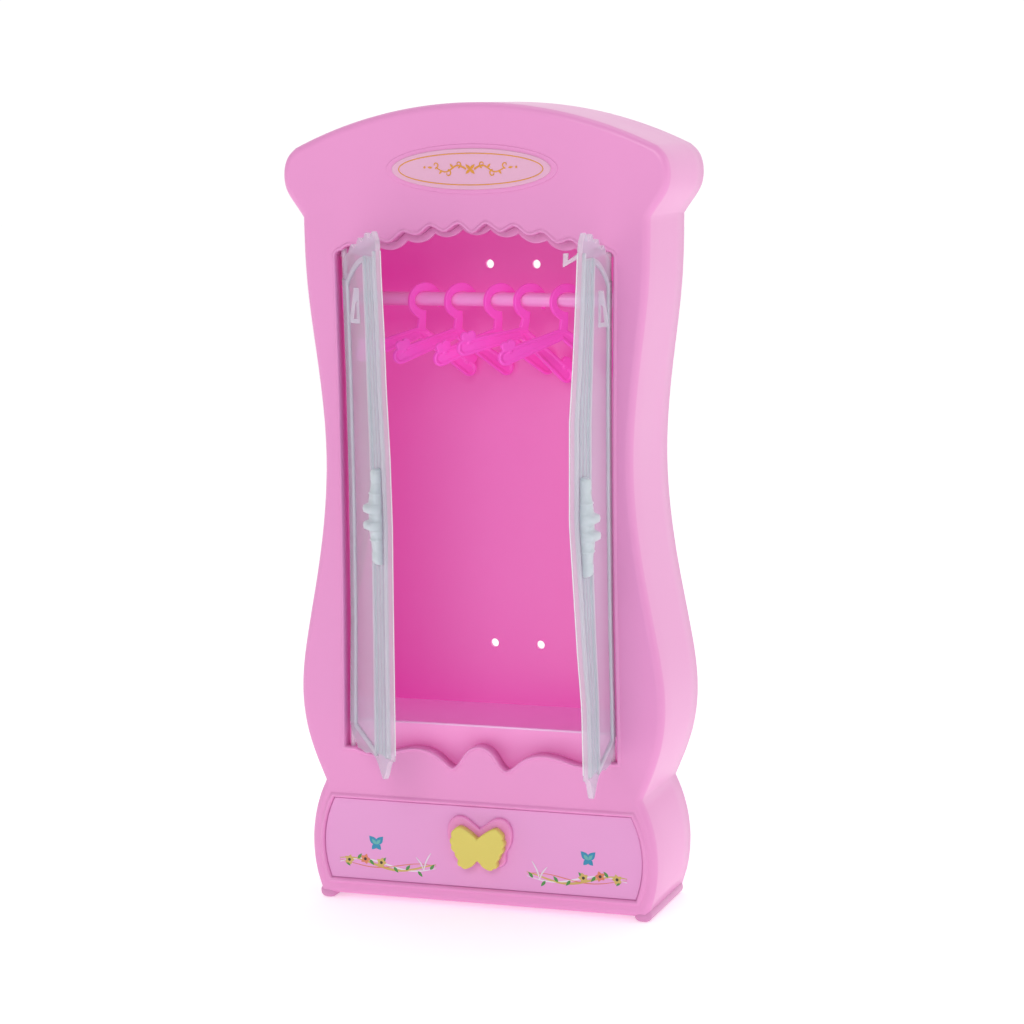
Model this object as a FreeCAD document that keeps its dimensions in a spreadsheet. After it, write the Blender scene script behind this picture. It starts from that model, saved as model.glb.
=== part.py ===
import FreeCAD, Part
import math
import os

from FreeCAD import Placement, Rotation, Vector

# A miniature wardrobe in millimetres: +X to the right, +Y to the back, +Z up.
# The origin lies on the floor, below the middle of the cabinet's front face.
# The doors are drawn shut and then swung open about their pivots.

DIMENSIONS = {
    # cabinet outline: half widths and heights of its side line
    "depth": 47.3,
    "wall": 2.0,
    "cut_past": 1.0,
    "crest_top": 300.3,
    "crest_end_half": 69.5,
    "crest_end_height": 284.3,
    "crest_end_share": 0.6,
    "crest_half": 74.4,
    "crest_half_height": 273.5,
    "neck_half": 66.9,
    "neck_height": 258.8,
    "shoulder_half": 66.2,
    "shoulder_height": 236.0,
    "upper_half": 63.1,
    "upper_height": 209.0,
    "waist_half": 59.9,
    "waist_height": 170.0,
    "flank_half": 64.2,
    "flank_height": 127.0,
    "lower_half": 68.8,
    "lower_height": 103.0,
    "bulge_half": 71.4,
    "bulge_height": 82.0,
    "tuck_half": 69.6,
    "tuck_height": 65.0,
    "pinch_half": 62.6,
    "pinch_height": 46.0,
    "base_half": 68.3,
    "base_half_height": 24.0,
    "base_bottom_half": 64.6,
    "base_bottom": 2.0,
    # closet opening, its scalloped top and its pointed bottom edge
    "opening_half": 53.6,
    "opening_bottom": 59.8,
    "opening_corner": 2.0,
    "arch_top": 256.3,
    "arch_end": 246.3,
    "arch_reach": 60.0,
    "scallop_pitch": 10.8,
    "scallop_rise": 1.15,
    "middle_dip": 0.6,
    "lip_thickness": 1.5,
    "lip_drop": 1.8,
    "lip_scallop": 2.1,
    "point_offset": 10.4,
    "point_height": 54.4,
    "crest_between_points": 63.0,
    "side_crest_offset": 26.0,
    "side_crest_rise": 1.2,
    "wave_dip": 0.5,
    "wave_shoulder": 1.2,
    "flat_start": 33.0,
    "rim_width": 2.6,
    "rim_depth": 4.7,
    "bead_width": 1.6,
    "bead_height": 0.6,
    # back panel and its four holes
    "back_thickness": 2.0,
    "back_gap": 0.15,
    "hole_radius": 1.65,
    "hole_spacing_across": 18.6,
    "hole_spacing_up": 146.0,
    "hole_middle_height": 166.5,
    # closet floor with its apron
    "floor_top": 69.8,
    "floor_thickness": 2.0,
    "floor_half": 67.2,
    "floor_front": 4.8,
    "apron_half": 61.5,
    "apron_bottom": 48.0,
    "panel_gap": 0.2,
    # feet
    "foot_width": 5.5,
    "foot_offset": 62.2,
    "foot_setback": 0.6,
    "foot_round": 0.8,
    # plaque on the crest
    "plaque_half_width": 30.6,
    "plaque_half_height": 7.5,
    "plaque_height": 276.3,
    "plaque_thickness": 1.0,
    # hanging rail
    "rail_radius": 2.6,
    "rail_half_length": 61.6,
    "rail_depth": 27.7,
    "rail_height": 227.3,
    "socket_radius": 4.7,
    "socket_bore": 2.68,
    "socket_start": 59.8,
    "socket_end": 63.4,
    "socket_bore_depth": 2.2,
    # drawer
    "front_top": 39.2,
    "front_bottom": 9.0,
    "front_top_half": 58.4,
    "front_side_half": 62.4,
    "front_bottom_half": 60.0,
    "front_thickness": 2.0,
    "front_gap": 0.5,
    "tray_half": 57.0,
    "tray_bottom": 9.6,
    "tray_top": 36.0,
    "tray_length": 39.5,
    "tray_wall": 1.5,
    "runner_half": 60.0,
    "runner_ledge": 6.0,
    "runner_gap": 0.4,
    "runner_height": 12.0,
    "runner_front": 6.0,
    "runner_length": 38.0,
    "runner_lift": 0.05,
    "sticker_thickness": 0.2,
    "sticker_near": 17.0,
    "sticker_far": 56.5,
    "sticker_bottom": 12.5,
    "sticker_top": 31.5,
    # butterfly knob and its pad
    "pad_half_width": 12.8,
    "pad_middle": 26.8,
    "pad_half_height": 9.8,
    "pad_thickness": 1.4,
    "knob_half_width": 10.7,
    "knob_half_height": 8.3,
    "knob_middle": 25.0,
    "knob_thickness": 3.2,
    "knob_skin": 1.5,
    "screw_radius": 1.2,
    "screw_clearance": 0.1,
    "screw_seat_gap": 0.05,
    "screw_length": 6.4,
    "screw_head_radius": 2.6,
    "screw_head": 1.4,
    # doors
    "pivot_offset": 51.3,
    "pivot_depth": 2.4,
    "pivot_radius": 1.0,
    "pivot_bore": 1.06,
    "pivot_low": 57.6,
    "pivot_high": 248.0,
    "pivot_bore_low": 57.3,
    "pivot_bore_high": 248.3,
    "pivot_bore_reach": 4.0,
    "pin_root": 2.0,
    "door_thickness": 2.0,
    "door_hinge_edge": 52.3,
    "door_free_edge": 0.5,
    "door_clearance": 1.0,
    "door_edge_low": 66.5,
    "door_edge_high": 237.4,
    "door_corner_height": 249.4,
    "door_corner_width": 8.0,
    "door_corner_bulge": 2.0,
    "door_tip_width": 2.2,
    "door_tip_bulge": 0.6,
    "door_tip_rise": 0.7,
    "door_flat": 9.5,
    "bond_gap": 0.02,
    "frame_width": 2.0,
    "frame_height": 1.0,
    "frame_hinge_side": 44.6,
    "frame_free_side": 16.4,
    "frame_low_hinge": 68.5,
    "frame_low_free": 62.8,
    "frame_high_hinge": 235.5,
    "frame_high_free": 246.2,
    "frame_arch": 2.0,
    "stile_width": 2.6,
    "stile_low": 65.0,
    "stile_high": 248.6,
    "handle_offset": 10.0,
    "handle_middle": 155.0,
    "handle_half_length": 17.5,
    "handle_radius": 1.6,
    "handle_boss_radius": 2.4,
    "handle_ear": 4.6,
    "hook_offset": 29.0,
    "hook_low": 221.0,
    "hook_high": 234.0,
    "hook_reach": 3.4,
    "hook_thickness": 1.4,
    "hook_bar": 1.2,
    "hook_middle": 4.5,
    "hook_top_reach": 2.0,
    "hook_slot_end": 1.9,
    "catch_offset": 2.6,
    "catch_height": 244.0,
    "catch_reach": 5.0,
    "catch_leg": 1.6,
    "catch_drop": 2.8,
    "catch_tip": 2.4,
    "catch_tip_thickness": 1.1,
    "left_open": 51.5,
    "right_open": 96.0,
    # hangers
    "hook_ring_radius": 6.9,
    "hook_drop": 0.7,
    "hook_tip_angle": -8.0,
    "hook_heel_angle": 276.0,
    "eye_half_width": 5.0,
    "eye_shift": 0.5,
    "eye_half_height": 3.7,
    "hanger_thickness": 1.8,
    "stem_half_width": 1.6,
    "stem_bottom": 12.6,
    "arm_span": 25.2,
    "arm_droop": 20.0,
    "arm_root_radius": 2.2,
    "arm_end_radius": 3.0,
    "stem_overlap": 1.2,
    "lobe_radius": 1.7,
    "lobe_rise": 4.0,
    "lobe_inset": 2.4,
    "lobe_spacing": 2.6,
    "hanger_turn": 48.0,
    "hanger_tilt": 12.0,
    "first_hanger": -29.0,
    "hanger_spacing": 14.4,
}

# Each hanger hangs a little differently: sideways shift, extra turn and extra tilt.
HANGER_SET = [(0.0, -1.0, 0.0), (0.0, 0.0, 1.0), (1.2, -0.5, -1.0), (-1.4, 0.5, 0.0), (-1.6, 0.0, 2.0)]
HANGER_COUNT = len(HANGER_SET)

doc = FreeCAD.newDocument("miniature_wardrobe")
sheet = doc.addObject("Spreadsheet::Sheet", "Sizes")
for row, (alias, value) in enumerate(DIMENSIONS.items(), start=1):
    sheet.set("A%d" % row, alias)
    sheet.set("B%d" % row, str(value))
    sheet.setAlias("B%d" % row, alias)
doc.recompute()


def size(alias):
    """A driving dimension, read back from the sheet."""
    return float(sheet.get(alias))


def line(start, end):
    return Part.LineSegment(Vector(start[0], start[1], 0), Vector(end[0], end[1], 0))


def arc(start, middle, end):
    """The round stretch that passes through three points."""
    return Part.Arc(*[Vector(p[0], p[1], 0) for p in (start, middle, end)])


def spline(points):
    """One smooth curve through the points."""
    curve = Part.BSplineCurve()
    curve.interpolate([Vector(p[0], p[1], 0) for p in points])
    return curve


def draw(strokes, side):
    """Curves for strokes given on the right, or mirrored to the left: each is a maker and its points."""
    curves = []
    for maker, points in strokes:
        placed = [(side * x, z) for x, z in points]
        curves.append(maker(placed) if maker is spline else maker(*placed))
    return curves


def circle(x, y, radius):
    return Part.Circle(Vector(x, y, 0), Vector(0, 0, 1), radius)


def polygon(points):
    """Straight edges round a closed outline."""
    return [line(a, b) for a, b in zip(points, points[1:] + points[:1])]


def mirrored(points):
    """The same points on the other side of the middle, in reverse order."""
    return [(-x, z) for x, z in reversed(points)]


def new_body(name):
    body = doc.addObject("PartDesign::Body", name)
    body.Label = name
    return body


def sketch(body, name, role, offset, curves):
    """A sketch on one of the body's own origin planes, moved along the plane's normal."""
    plane = next(item for item in body.Origin.OriginFeatures if item.Role == role)
    result = body.newObject("Sketcher::SketchObject", name)
    result.AttachmentSupport = [(plane, "")]
    result.MapMode = "FlatFace"
    result.AttachmentOffset = Placement(Vector(0, 0, offset), Rotation())
    result.addGeometry(curves, False)
    result.Visibility = False
    return result


def pad(body, name, curves, start, length, role="XZ_Plane"):
    """Add material from start, towards the back (XZ plane) or upwards (XY plane)."""
    backwards = role == "XZ_Plane"
    offset = -start if backwards else start
    feature = body.newObject("PartDesign::Pad", name)
    feature.Profile = sketch(body, name + "_sketch", role, offset, curves)
    feature.Reversed = backwards
    feature.setExpression("Length", length)
    doc.recompute()
    return feature


def pocket(body, name, curves, start, length, role="XZ_Plane"):
    """Cut from start, towards the back (XZ plane) or upwards (XY plane)."""
    backwards = role == "XZ_Plane"
    offset = -start if backwards else start
    faces_before = len(body.Shape.Faces)
    feature = body.newObject("PartDesign::Pocket", name)
    feature.Profile = sketch(body, name + "_sketch", role, offset, curves)
    feature.Reversed = not backwards
    feature.setExpression("Length", length)
    doc.recompute()
    if len(body.Shape.Faces) <= faces_before:
        raise RuntimeError(name + " cuts nothing")
    return feature


def side_line(inset):
    """The right side between the pinch and the neck, as points from bottom to top."""
    names = ("pinch", "tuck", "bulge", "lower", "flank", "waist", "upper", "shoulder", "neck")
    return [(size(name + "_half") - inset, size(name + "_height")) for name in names]


def cabinet_outline(inset):
    """The cabinet seen from the front, moved inwards by inset."""
    bottom = size("base_bottom") + inset
    bottom_half = size("base_bottom_half") - inset
    base = (size("base_half") - inset, size("base_half_height"))
    right = side_line(inset)
    crest_side = (size("crest_half") - inset, size("crest_half_height"))
    crest_end = (size("crest_end_half") - size("crest_end_share") * inset, size("crest_end_height") - inset)
    top = (0, size("crest_top") - inset)
    curves = [line((-bottom_half, bottom), (bottom_half, bottom))]
    curves.append(arc((bottom_half, bottom), base, right[0]))
    curves.append(spline(right))
    curves.append(arc(right[-1], crest_side, crest_end))
    curves.append(arc(crest_end, top, mirrored([crest_end])[0]))
    left_end, left_side, left_neck = mirrored([right[-1], crest_side, crest_end])
    curves.append(arc(left_end, left_side, left_neck))
    curves.append(spline(mirrored(right)))
    left_pinch, left_base, left_bottom = mirrored([(bottom_half, bottom), base, right[0]])
    curves.append(arc(left_pinch, left_base, left_bottom))
    return curves


def arch(x):
    """Height of the smooth arch that the scallops follow."""
    rise = size("arch_top") - size("arch_end")
    return size("arch_end") + rise * (1 + math.cos(math.pi * x / size("arch_reach"))) / 2


def scallop(x):
    """Height of the closet opening's scalloped top edge, with its slightly lower middle wave."""
    wave = math.cos(2 * math.pi * x / size("scallop_pitch"))
    dip = size("middle_dip") * (1 + wave) / 2 if abs(x) < size("scallop_pitch") / 2 else 0
    return arch(x) - size("scallop_rise") * wave - dip


def scallop_points(start, end, lift):
    """Points along the scallops, four to a wave."""
    step = size("scallop_pitch") / 4
    count = max(2, round(abs(end - start) / step))
    places = [start + (end - start) * i / count for i in range(count + 1)]
    return [(x, scallop(x) + lift) for x in places]


def lip_outline():
    """The lip behind the scalloped edge: hanging round scallops that meet in upward points."""
    pitch = size("scallop_pitch")
    half = size("opening_half") + size("rim_width") / 2
    waves = math.floor(half / pitch - 0.5)
    places = [pitch * (number + 0.5) for number in range(-waves - 1, waves + 1)]
    points = [(x, arch(x) - size("lip_drop")) for x in places]
    ends = [(side * half, arch(half) - size("lip_drop") - size("lip_scallop") / 2) for side in (-1, 1)]
    curves = []
    for start, end in zip(points, points[1:]):
        low = ((start[0] + end[0]) / 2, (start[1] + end[1]) / 2 - size("lip_scallop"))
        curves.append(arc(start, low, end))
    top = scallop_points(-half, half, size("rim_width") / 2)
    curves += [line(points[-1], ends[1]), line(ends[1], top[-1]), spline(top)]
    curves += [line(top[0], ends[0]), line(ends[0], points[0])]
    return curves


def bottom_wave(drop):
    """The opening's bottom edge from its flat to the middle, as points for each curve."""
    flat = size("opening_bottom") - drop
    point = (size("point_offset"), size("point_height") - drop)
    crest = (size("side_crest_offset"), flat + size("side_crest_rise"))
    between = ((crest[0] + point[0]) / 2, flat - size("wave_dip"))
    middle = (0, size("crest_between_points") - drop)
    shoulder = (point[0] / 2, (point[1] + middle[1]) / 2 + size("wave_shoulder"))
    outer = [(size("flat_start"), flat), crest, between, point]
    inner = [point, shoulder, middle]
    return outer, inner


def opening_outline(grow):
    """The closet opening, made larger all round by grow."""
    half = size("opening_half") + grow
    round_off = size("opening_corner")
    corner = scallop(half - round_off) + grow
    soft = round_off * (1 - math.sqrt(0.5))
    outer, inner = bottom_wave(grow)
    flat = outer[0]
    right_corner = (half, flat[1])
    start = (half, corner - round_off)
    arc_middle = (half - soft, corner - soft)
    arc_end = (half - round_off, corner)
    curves = [spline(mirrored(outer)[::-1]), line(flat, right_corner), line(right_corner, start)]
    curves.append(spline(inner + mirrored(inner)[1:]))
    curves.append(spline(outer))
    curves.append(arc(start, arc_middle, arc_end))
    curves.append(spline(scallop_points(arc_end[0], -arc_end[0], grow)))
    curves.append(arc(*mirrored([start, arc_middle, arc_end])))
    curves.append(line((-half, start[1]), (-half, flat[1])))
    curves.append(line((-half, flat[1]), (-flat[0], flat[1])))
    return curves


def drawer_outline(grow):
    """The drawer front, made larger all round by grow."""
    top = (size("front_top_half") + grow, size("front_top") + grow)
    side = (size("front_side_half") + grow, size("base_half_height"))
    bottom = (size("front_bottom_half") + grow, size("front_bottom") - grow)
    left = mirrored([top, side, bottom])
    curves = [arc(top, side, bottom), line(bottom, left[0])]
    curves += [arc(*left), line(left[-1], top)]
    return curves


def ring(outline, outer, inner):
    """Two outlines of one shape, one inside the other."""
    return outline(outer) + outline(inner)


def make_cabinet_shell():
    """Front, sides, crest and base moulded as one shell, open at the back."""
    body = new_body("cabinet_shell")
    wall = size("wall")
    pad(body, "shell_block", cabinet_outline(0), 0, "Sizes.depth")
    pocket(body, "shell_hollow", cabinet_outline(wall), wall, "Sizes.depth")
    rim = ring(opening_outline, size("rim_width"), 0.0)
    pad(body, "opening_rim", rim, 0, "Sizes.rim_depth")
    before = -size("cut_past")
    pocket(body, "closet_opening", opening_outline(0), before, "Sizes.rim_depth + Sizes.cut_past")
    pad(body, "upper_lip", lip_outline(), size("rim_depth"), "Sizes.lip_thickness")
    gap = size("front_gap")
    pocket(body, "drawer_opening", drawer_outline(gap), before, "Sizes.wall + 2 * Sizes.cut_past")
    bead = size("bead_width")
    height = size("bead_height")
    pad(body, "closet_bead", ring(opening_outline, bead, 0.0), -height, "Sizes.bead_height")
    pad(body, "drawer_bead", ring(drawer_outline, gap + bead, gap), -height, "Sizes.bead_height")
    pivots = [circle(side * size("pivot_offset"), size("pivot_depth"), size("pivot_bore")) for side in (-1, 1)]
    low = size("pivot_bore_low")
    reach = "Sizes.opening_bottom - Sizes.pivot_bore_low + Sizes.cut_past"
    pocket(body, "lower_pivot_bores", pivots, low, reach, "XY_Plane")
    top = size("pivot_bore_high") - size("pivot_bore_reach")
    pocket(body, "upper_pivot_bores", pivots, top, "Sizes.pivot_bore_reach", "XY_Plane")
    return body


def make_back_panel():
    """Flat panel in the shell's open back, with four through holes."""
    body = new_body("back_panel")
    start = size("depth") - size("back_thickness")
    pad(body, "panel", cabinet_outline(size("wall") + size("back_gap")), start, "Sizes.back_thickness")
    across = size("hole_spacing_across") / 2
    up = size("hole_spacing_up") / 2
    middle = size("hole_middle_height")
    places = [(x, middle + z) for x in (-across, across) for z in (-up, up)]
    holes = [circle(x, z, size("hole_radius")) for x, z in places]
    depth = "Sizes.back_thickness + 2 * Sizes.cut_past"
    pocket(body, "panel_holes", holes, start - size("cut_past"), depth)
    return body


def rectangle(low, high):
    return polygon([low, (high[0], low[1]), high, (low[0], high[1])])


def make_closet_floor():
    """Closet floor with the apron that hangs from its front edge."""
    body = new_body("closet_floor")
    front = size("floor_front")
    top = size("floor_top")
    under = top - size("floor_thickness")
    half = size("floor_half")
    run = "Sizes.depth - Sizes.back_thickness - Sizes.panel_gap - Sizes.floor_front"
    pad(body, "floor_plate", rectangle((-half, under), (half, top)), front, run)
    apron = rectangle((-size("apron_half"), size("apron_bottom")), (size("apron_half"), top))
    pad(body, "apron_plate", apron, front, "Sizes.floor_thickness")
    return body


def make_foot(name, side):
    """Rail under one side of the base."""
    block = doc.addObject("Part::Box", name + "_block")
    block.setExpression("Length", "Sizes.foot_width")
    block.setExpression("Width", "Sizes.depth - 2 * Sizes.foot_setback")
    block.setExpression("Height", "Sizes.base_bottom")
    left = side * size("foot_offset") - size("foot_width") / 2
    block.Placement = Placement(Vector(left, size("foot_setback"), 0), Rotation())
    foot = doc.addObject("Part::Fillet", name)
    foot.Base = block
    foot.Label = name
    doc.recompute()
    edges = []
    for number, edge in enumerate(block.Shape.Edges, start=1):
        upright = abs(edge.tangentAt(edge.FirstParameter).z) > 0.9
        if upright:
            edges.append((number, size("foot_round"), size("foot_round")))
    foot.Edges = edges
    return foot


def ellipse(x, z, half_width, half_height):
    """A closed ellipse whose longer axis lies across."""
    centre = Vector(x, z, 0)
    return Part.Ellipse(Vector(x + half_width, z, 0), Vector(x, z + half_height, 0), centre)


def make_crest_plaque():
    """Oval plaque on the crest."""
    body = new_body("crest_plaque")
    thickness = size("plaque_thickness")
    oval = ellipse(0, size("plaque_height"), size("plaque_half_width"), size("plaque_half_height"))
    pad(body, "plaque_plate", [oval], -thickness, "Sizes.plaque_thickness")
    return body


def make_rail():
    """Round hanging rail across the closet."""
    rail = doc.addObject("Part::Cylinder", "hanging_rail")
    rail.Label = "hanging_rail"
    rail.setExpression("Radius", "Sizes.rail_radius")
    rail.setExpression("Height", "2 * Sizes.rail_half_length")
    start = Vector(-size("rail_half_length"), size("rail_depth"), size("rail_height"))
    rail.Placement = Placement(start, Rotation(Vector(0, 1, 0), 90))
    return rail


def make_rail_socket(name, side):
    """Boss on a side wall that takes one end of the rail."""
    boss = doc.addObject("Part::Cylinder", name + "_boss")
    boss.setExpression("Radius", "Sizes.socket_radius")
    boss.setExpression("Height", "Sizes.socket_end - Sizes.socket_start")
    bore = doc.addObject("Part::Cylinder", name + "_bore")
    bore.setExpression("Radius", "Sizes.socket_bore")
    bore.setExpression("Height", "Sizes.socket_bore_depth")
    turn = Rotation(Vector(0, 1, 0), 90 * side)
    start = Vector(side * size("socket_start"), size("rail_depth"), size("rail_height"))
    boss.Placement = Placement(start, turn)
    bore.Placement = Placement(start, turn)
    socket = doc.addObject("Part::Cut", name)
    socket.Base = boss
    socket.Tool = bore
    socket.Label = name
    return socket


def make_runner(name, side):
    """Ledge and guide that carry one side of the drawer tray."""
    body = new_body(name)
    gap = size("runner_gap")
    bottom = size("base_bottom") + size("wall") + size("runner_lift")
    ledge_top = size("tray_bottom") - gap
    guide = size("tray_half") + gap
    outer = size("runner_half")
    inner = guide - size("runner_ledge")
    top = size("tray_bottom") + size("runner_height")
    section = [(inner, bottom), (outer, bottom), (outer, top), (guide, top), (guide, ledge_top), (inner, ledge_top)]
    section = [(side * x, z) for x, z in section]
    pad(body, name + "_section", polygon(section), size("runner_front"), "Sizes.runner_length")
    return body


def screw_hole():
    """Clearance hole for the knob's screw."""
    return [circle(0, size("knob_middle"), size("screw_radius") + size("screw_clearance"))]


def make_drawer_front():
    """Curved drawer front with a clearance hole for the knob's screw."""
    body = new_body("drawer_front")
    pad(body, "front_plate", drawer_outline(0), 0, "Sizes.front_thickness")
    depth = "Sizes.front_thickness + 2 * Sizes.cut_past"
    pocket(body, "front_screw_hole", screw_hole(), -size("cut_past"), depth)
    return body


def make_drawer_tray():
    """Open tray behind the drawer front."""
    body = new_body("drawer_tray")
    half = size("tray_half")
    bottom = size("tray_bottom")
    start = size("front_thickness")
    pad(body, "tray_block", rectangle((-half, bottom), (half, size("tray_top"))), start, "Sizes.tray_length")
    wall = size("tray_wall")
    inside = rectangle((-half + wall, start + wall), (half - wall, start + size("tray_length") - wall))
    depth = "Sizes.tray_top - Sizes.tray_bottom"
    pocket(body, "tray_hollow", inside, bottom + wall, depth, "XY_Plane")
    depth = "Sizes.tray_wall + 2 * Sizes.cut_past"
    pocket(body, "tray_screw_hole", screw_hole(), start - size("cut_past"), depth)
    return body


def make_sticker(name, side):
    """Thin printed film on one side of the drawer front."""
    body = new_body(name)
    near = side * size("sticker_near")
    far = side * size("sticker_far")
    low = (min(near, far), size("sticker_bottom"))
    high = (max(near, far), size("sticker_top"))
    pad(body, name + "_film", rectangle(low, high), -size("sticker_thickness"), "Sizes.sticker_thickness")
    return body


def wing_outline(half_width, half_height, middle):
    """A butterfly: two large upper lobes, two small lower ones, notched top and bottom."""
    right = [
        (0, middle + 0.45 * half_height),
        (0.45 * half_width, middle + half_height),
        (half_width, middle + 0.55 * half_height),
        (0.82 * half_width, middle - 0.15 * half_height),
        (0.78 * half_width, middle - 0.7 * half_height),
        (0.4 * half_width, middle - half_height),
        (0, middle - 0.62 * half_height),
    ]
    return [spline(right), spline(mirrored(right))]


def make_knob_pad():
    """Rounded pad under the butterfly knob."""
    body = new_body("knob_pad")
    wings = wing_outline(size("pad_half_width"), size("pad_half_height"), size("pad_middle"))
    pad(body, "pad_plate", wings, -size("pad_thickness"), "Sizes.pad_thickness")
    depth = "Sizes.pad_thickness + 2 * Sizes.cut_past"
    pocket(body, "pad_screw_hole", screw_hole(), -size("pad_thickness") - size("cut_past"), depth)
    return body


def make_butterfly_knob():
    """Yellow butterfly that pulls the drawer, with a blind hole for its screw."""
    body = new_body("butterfly_knob")
    start = -size("pad_thickness") - size("knob_thickness")
    wings = wing_outline(size("knob_half_width"), size("knob_half_height"), size("knob_middle"))
    pad(body, "knob_plate", wings, start, "Sizes.knob_thickness")
    pocket(body, "knob_screw_hole", screw_hole(), start + size("knob_skin"), "Sizes.knob_thickness")
    return body


def make_knob_screw():
    """Screw from inside the tray into the knob."""
    shank = doc.addObject("Part::Cylinder", "screw_shank")
    shank.setExpression("Radius", "Sizes.screw_radius")
    shank.setExpression("Height", "Sizes.screw_length")
    head = doc.addObject("Part::Cylinder", "screw_head_disc")
    head.setExpression("Radius", "Sizes.screw_head_radius")
    head.setExpression("Height", "Sizes.screw_head")
    seat = size("front_thickness") + size("tray_wall") + size("screw_seat_gap")
    turn = Rotation(Vector(1, 0, 0), 90)
    shank.Placement = Placement(Vector(0, seat, size("knob_middle")), turn)
    head.Placement = Placement(Vector(0, seat + size("screw_head"), size("knob_middle")), turn)
    screw = doc.addObject("Part::Fuse", "knob_screw")
    screw.Base = shank
    screw.Tool = head
    screw.Label = "knob_screw"
    return screw


def swing(item, side):
    """Turn a piece that is drawn with its door shut to where the open door holds it."""
    angle = size("right_open") if side > 0 else -size("left_open")
    pivot = Vector(side * size("pivot_offset"), size("pivot_depth"), 0)
    item.Placement = Placement(Vector(0, 0, 0), Rotation(Vector(0, 0, 1), angle), pivot)
    return item


def door_outline():
    """The right door leaf, shut, from its hinge edge over the top to its free edge."""
    hinge = size("door_hinge_edge")
    free = size("door_free_edge")
    clear = size("door_clearance")
    high = (hinge, size("door_edge_high"))
    top = scallop_points(hinge - size("door_corner_width"), free + size("door_tip_width"), -clear)
    corner = (free, size("door_corner_height"))
    hinge_corner = (hinge - size("door_corner_bulge"), (high[1] + top[0][1]) / 2)
    tip_height = (top[-1][1] + corner[1]) / 2 + size("door_tip_rise")
    free_corner = (free + size("door_tip_bulge"), tip_height)
    outer, inner = bottom_wave(-clear)
    foot = (free, inner[-1][1])
    low_flat = (size("flat_start") + size("door_flat"), outer[0][1])
    low = (hinge, size("door_edge_low"))
    return [
        (arc, [high, hinge_corner, top[0]]),
        (spline, top),
        (arc, [top[-1], free_corner, corner]),
        (line, [corner, foot]),
        (spline, [foot] + inner[-2::-1]),
        (spline, outer[::-1]),
        (line, [outer[0], low_flat]),
        (line, [low_flat, low]),
        (line, [low, high]),
    ]


def frame_outline(inset):
    """The raised frame on the right door, with its arched top and sloping foot."""
    hinge = size("frame_hinge_side") - inset
    free = size("frame_free_side") + inset
    high_hinge = (hinge, size("frame_high_hinge") - inset)
    high_free = (free, size("frame_high_free") - inset)
    low_hinge = (hinge, size("frame_low_hinge") + inset)
    low_free = (free, size("frame_low_free") + inset)
    arch_middle = ((hinge + free) / 2, (high_hinge[1] + high_free[1]) / 2 + size("frame_arch"))
    return [
        (arc, [high_hinge, arch_middle, high_free]),
        (line, [high_free, low_free]),
        (line, [low_free, low_hinge]),
        (line, [low_hinge, high_hinge]),
    ]


def make_door(name, side):
    """Frosted door leaf with its raised frame, edge stile and two pivot pins."""
    body = new_body(name)
    outer_face = size("pivot_depth") - size("door_thickness") / 2
    pad(body, name + "_leaf", draw(door_outline(), side), outer_face, "Sizes.door_thickness")
    front = outer_face - size("frame_height")
    frame = draw(frame_outline(0) + frame_outline(size("frame_width")), side)
    pad(body, name + "_frame", frame, front, "Sizes.frame_height")
    free = size("door_free_edge")
    edges = sorted((side * free, side * (free + size("stile_width"))))
    stile = rectangle((edges[0], size("stile_low")), (edges[1], size("stile_high")))
    pad(body, name + "_stile", stile, front, "Sizes.frame_height")
    pin = [circle(side * size("pivot_offset"), size("pivot_depth"), size("pivot_radius"))]
    length = "Sizes.door_edge_low + Sizes.pin_root - Sizes.pivot_low"
    pad(body, name + "_lower_pin", pin, size("pivot_low"), length, "XY_Plane")
    start = size("door_edge_high") - size("pin_root")
    length = "Sizes.pivot_high - Sizes.door_edge_high + Sizes.pin_root"
    pad(body, name + "_upper_pin", pin, start, length, "XY_Plane")
    return swing(body, side)


def make_handle(name, side):
    """Turned handle with two ears, standing on the door's outer face."""
    body = new_body(name)
    face = size("pivot_depth") - size("door_thickness") / 2
    x = side * size("handle_offset")
    half = size("handle_half_length")
    radius = size("handle_radius")
    middle = size("handle_middle")
    back = face - size("bond_gap")
    spindle = [circle(x, back - radius, radius)]
    pad(body, name + "_spindle", spindle, middle - half, "2 * Sizes.handle_half_length", "XY_Plane")
    boss_radius = size("handle_boss_radius")
    for place in (-1, 0, 1):
        height = middle + place * (half - boss_radius) - boss_radius
        boss = rectangle((x - boss_radius, face - 2 * radius), (x + boss_radius, back))
        pad(body, "%s_boss_%d" % (name, place + 2), boss, height, "2 * Sizes.handle_boss_radius", "XY_Plane")
    ear = size("handle_ear")
    ears = rectangle((x - ear, face - 2 * radius), (x + ear, back))
    pad(body, name + "_ears", ears, middle - radius, "2 * Sizes.handle_radius", "XY_Plane")
    return swing(body, side)


def make_door_hook(name, side):
    """Small triangular loop on the door's outer face."""
    body = new_body(name)
    face = size("pivot_depth") - size("door_thickness") / 2 - size("bond_gap")
    reach = size("hook_reach")
    bar = size("hook_bar")
    low, high = size("hook_low"), size("hook_high")
    middle = low + size("hook_middle")
    end = size("hook_slot_end")
    outer = [(face, low), (face - reach, middle), (face - size("hook_top_reach"), high), (face, high)]
    inner = [(face - bar, low + end), (face - reach + bar, middle), (face - bar, high - end)]
    curves = polygon(outer) + polygon(inner)
    start = side * size("hook_offset") - size("hook_thickness") / 2
    feature = body.newObject("PartDesign::Pad", name + "_loop")
    feature.Profile = sketch(body, name + "_loop_sketch", "YZ_Plane", start, curves)
    feature.setExpression("Length", "Sizes.hook_thickness")
    doc.recompute()
    return swing(body, side)


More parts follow.
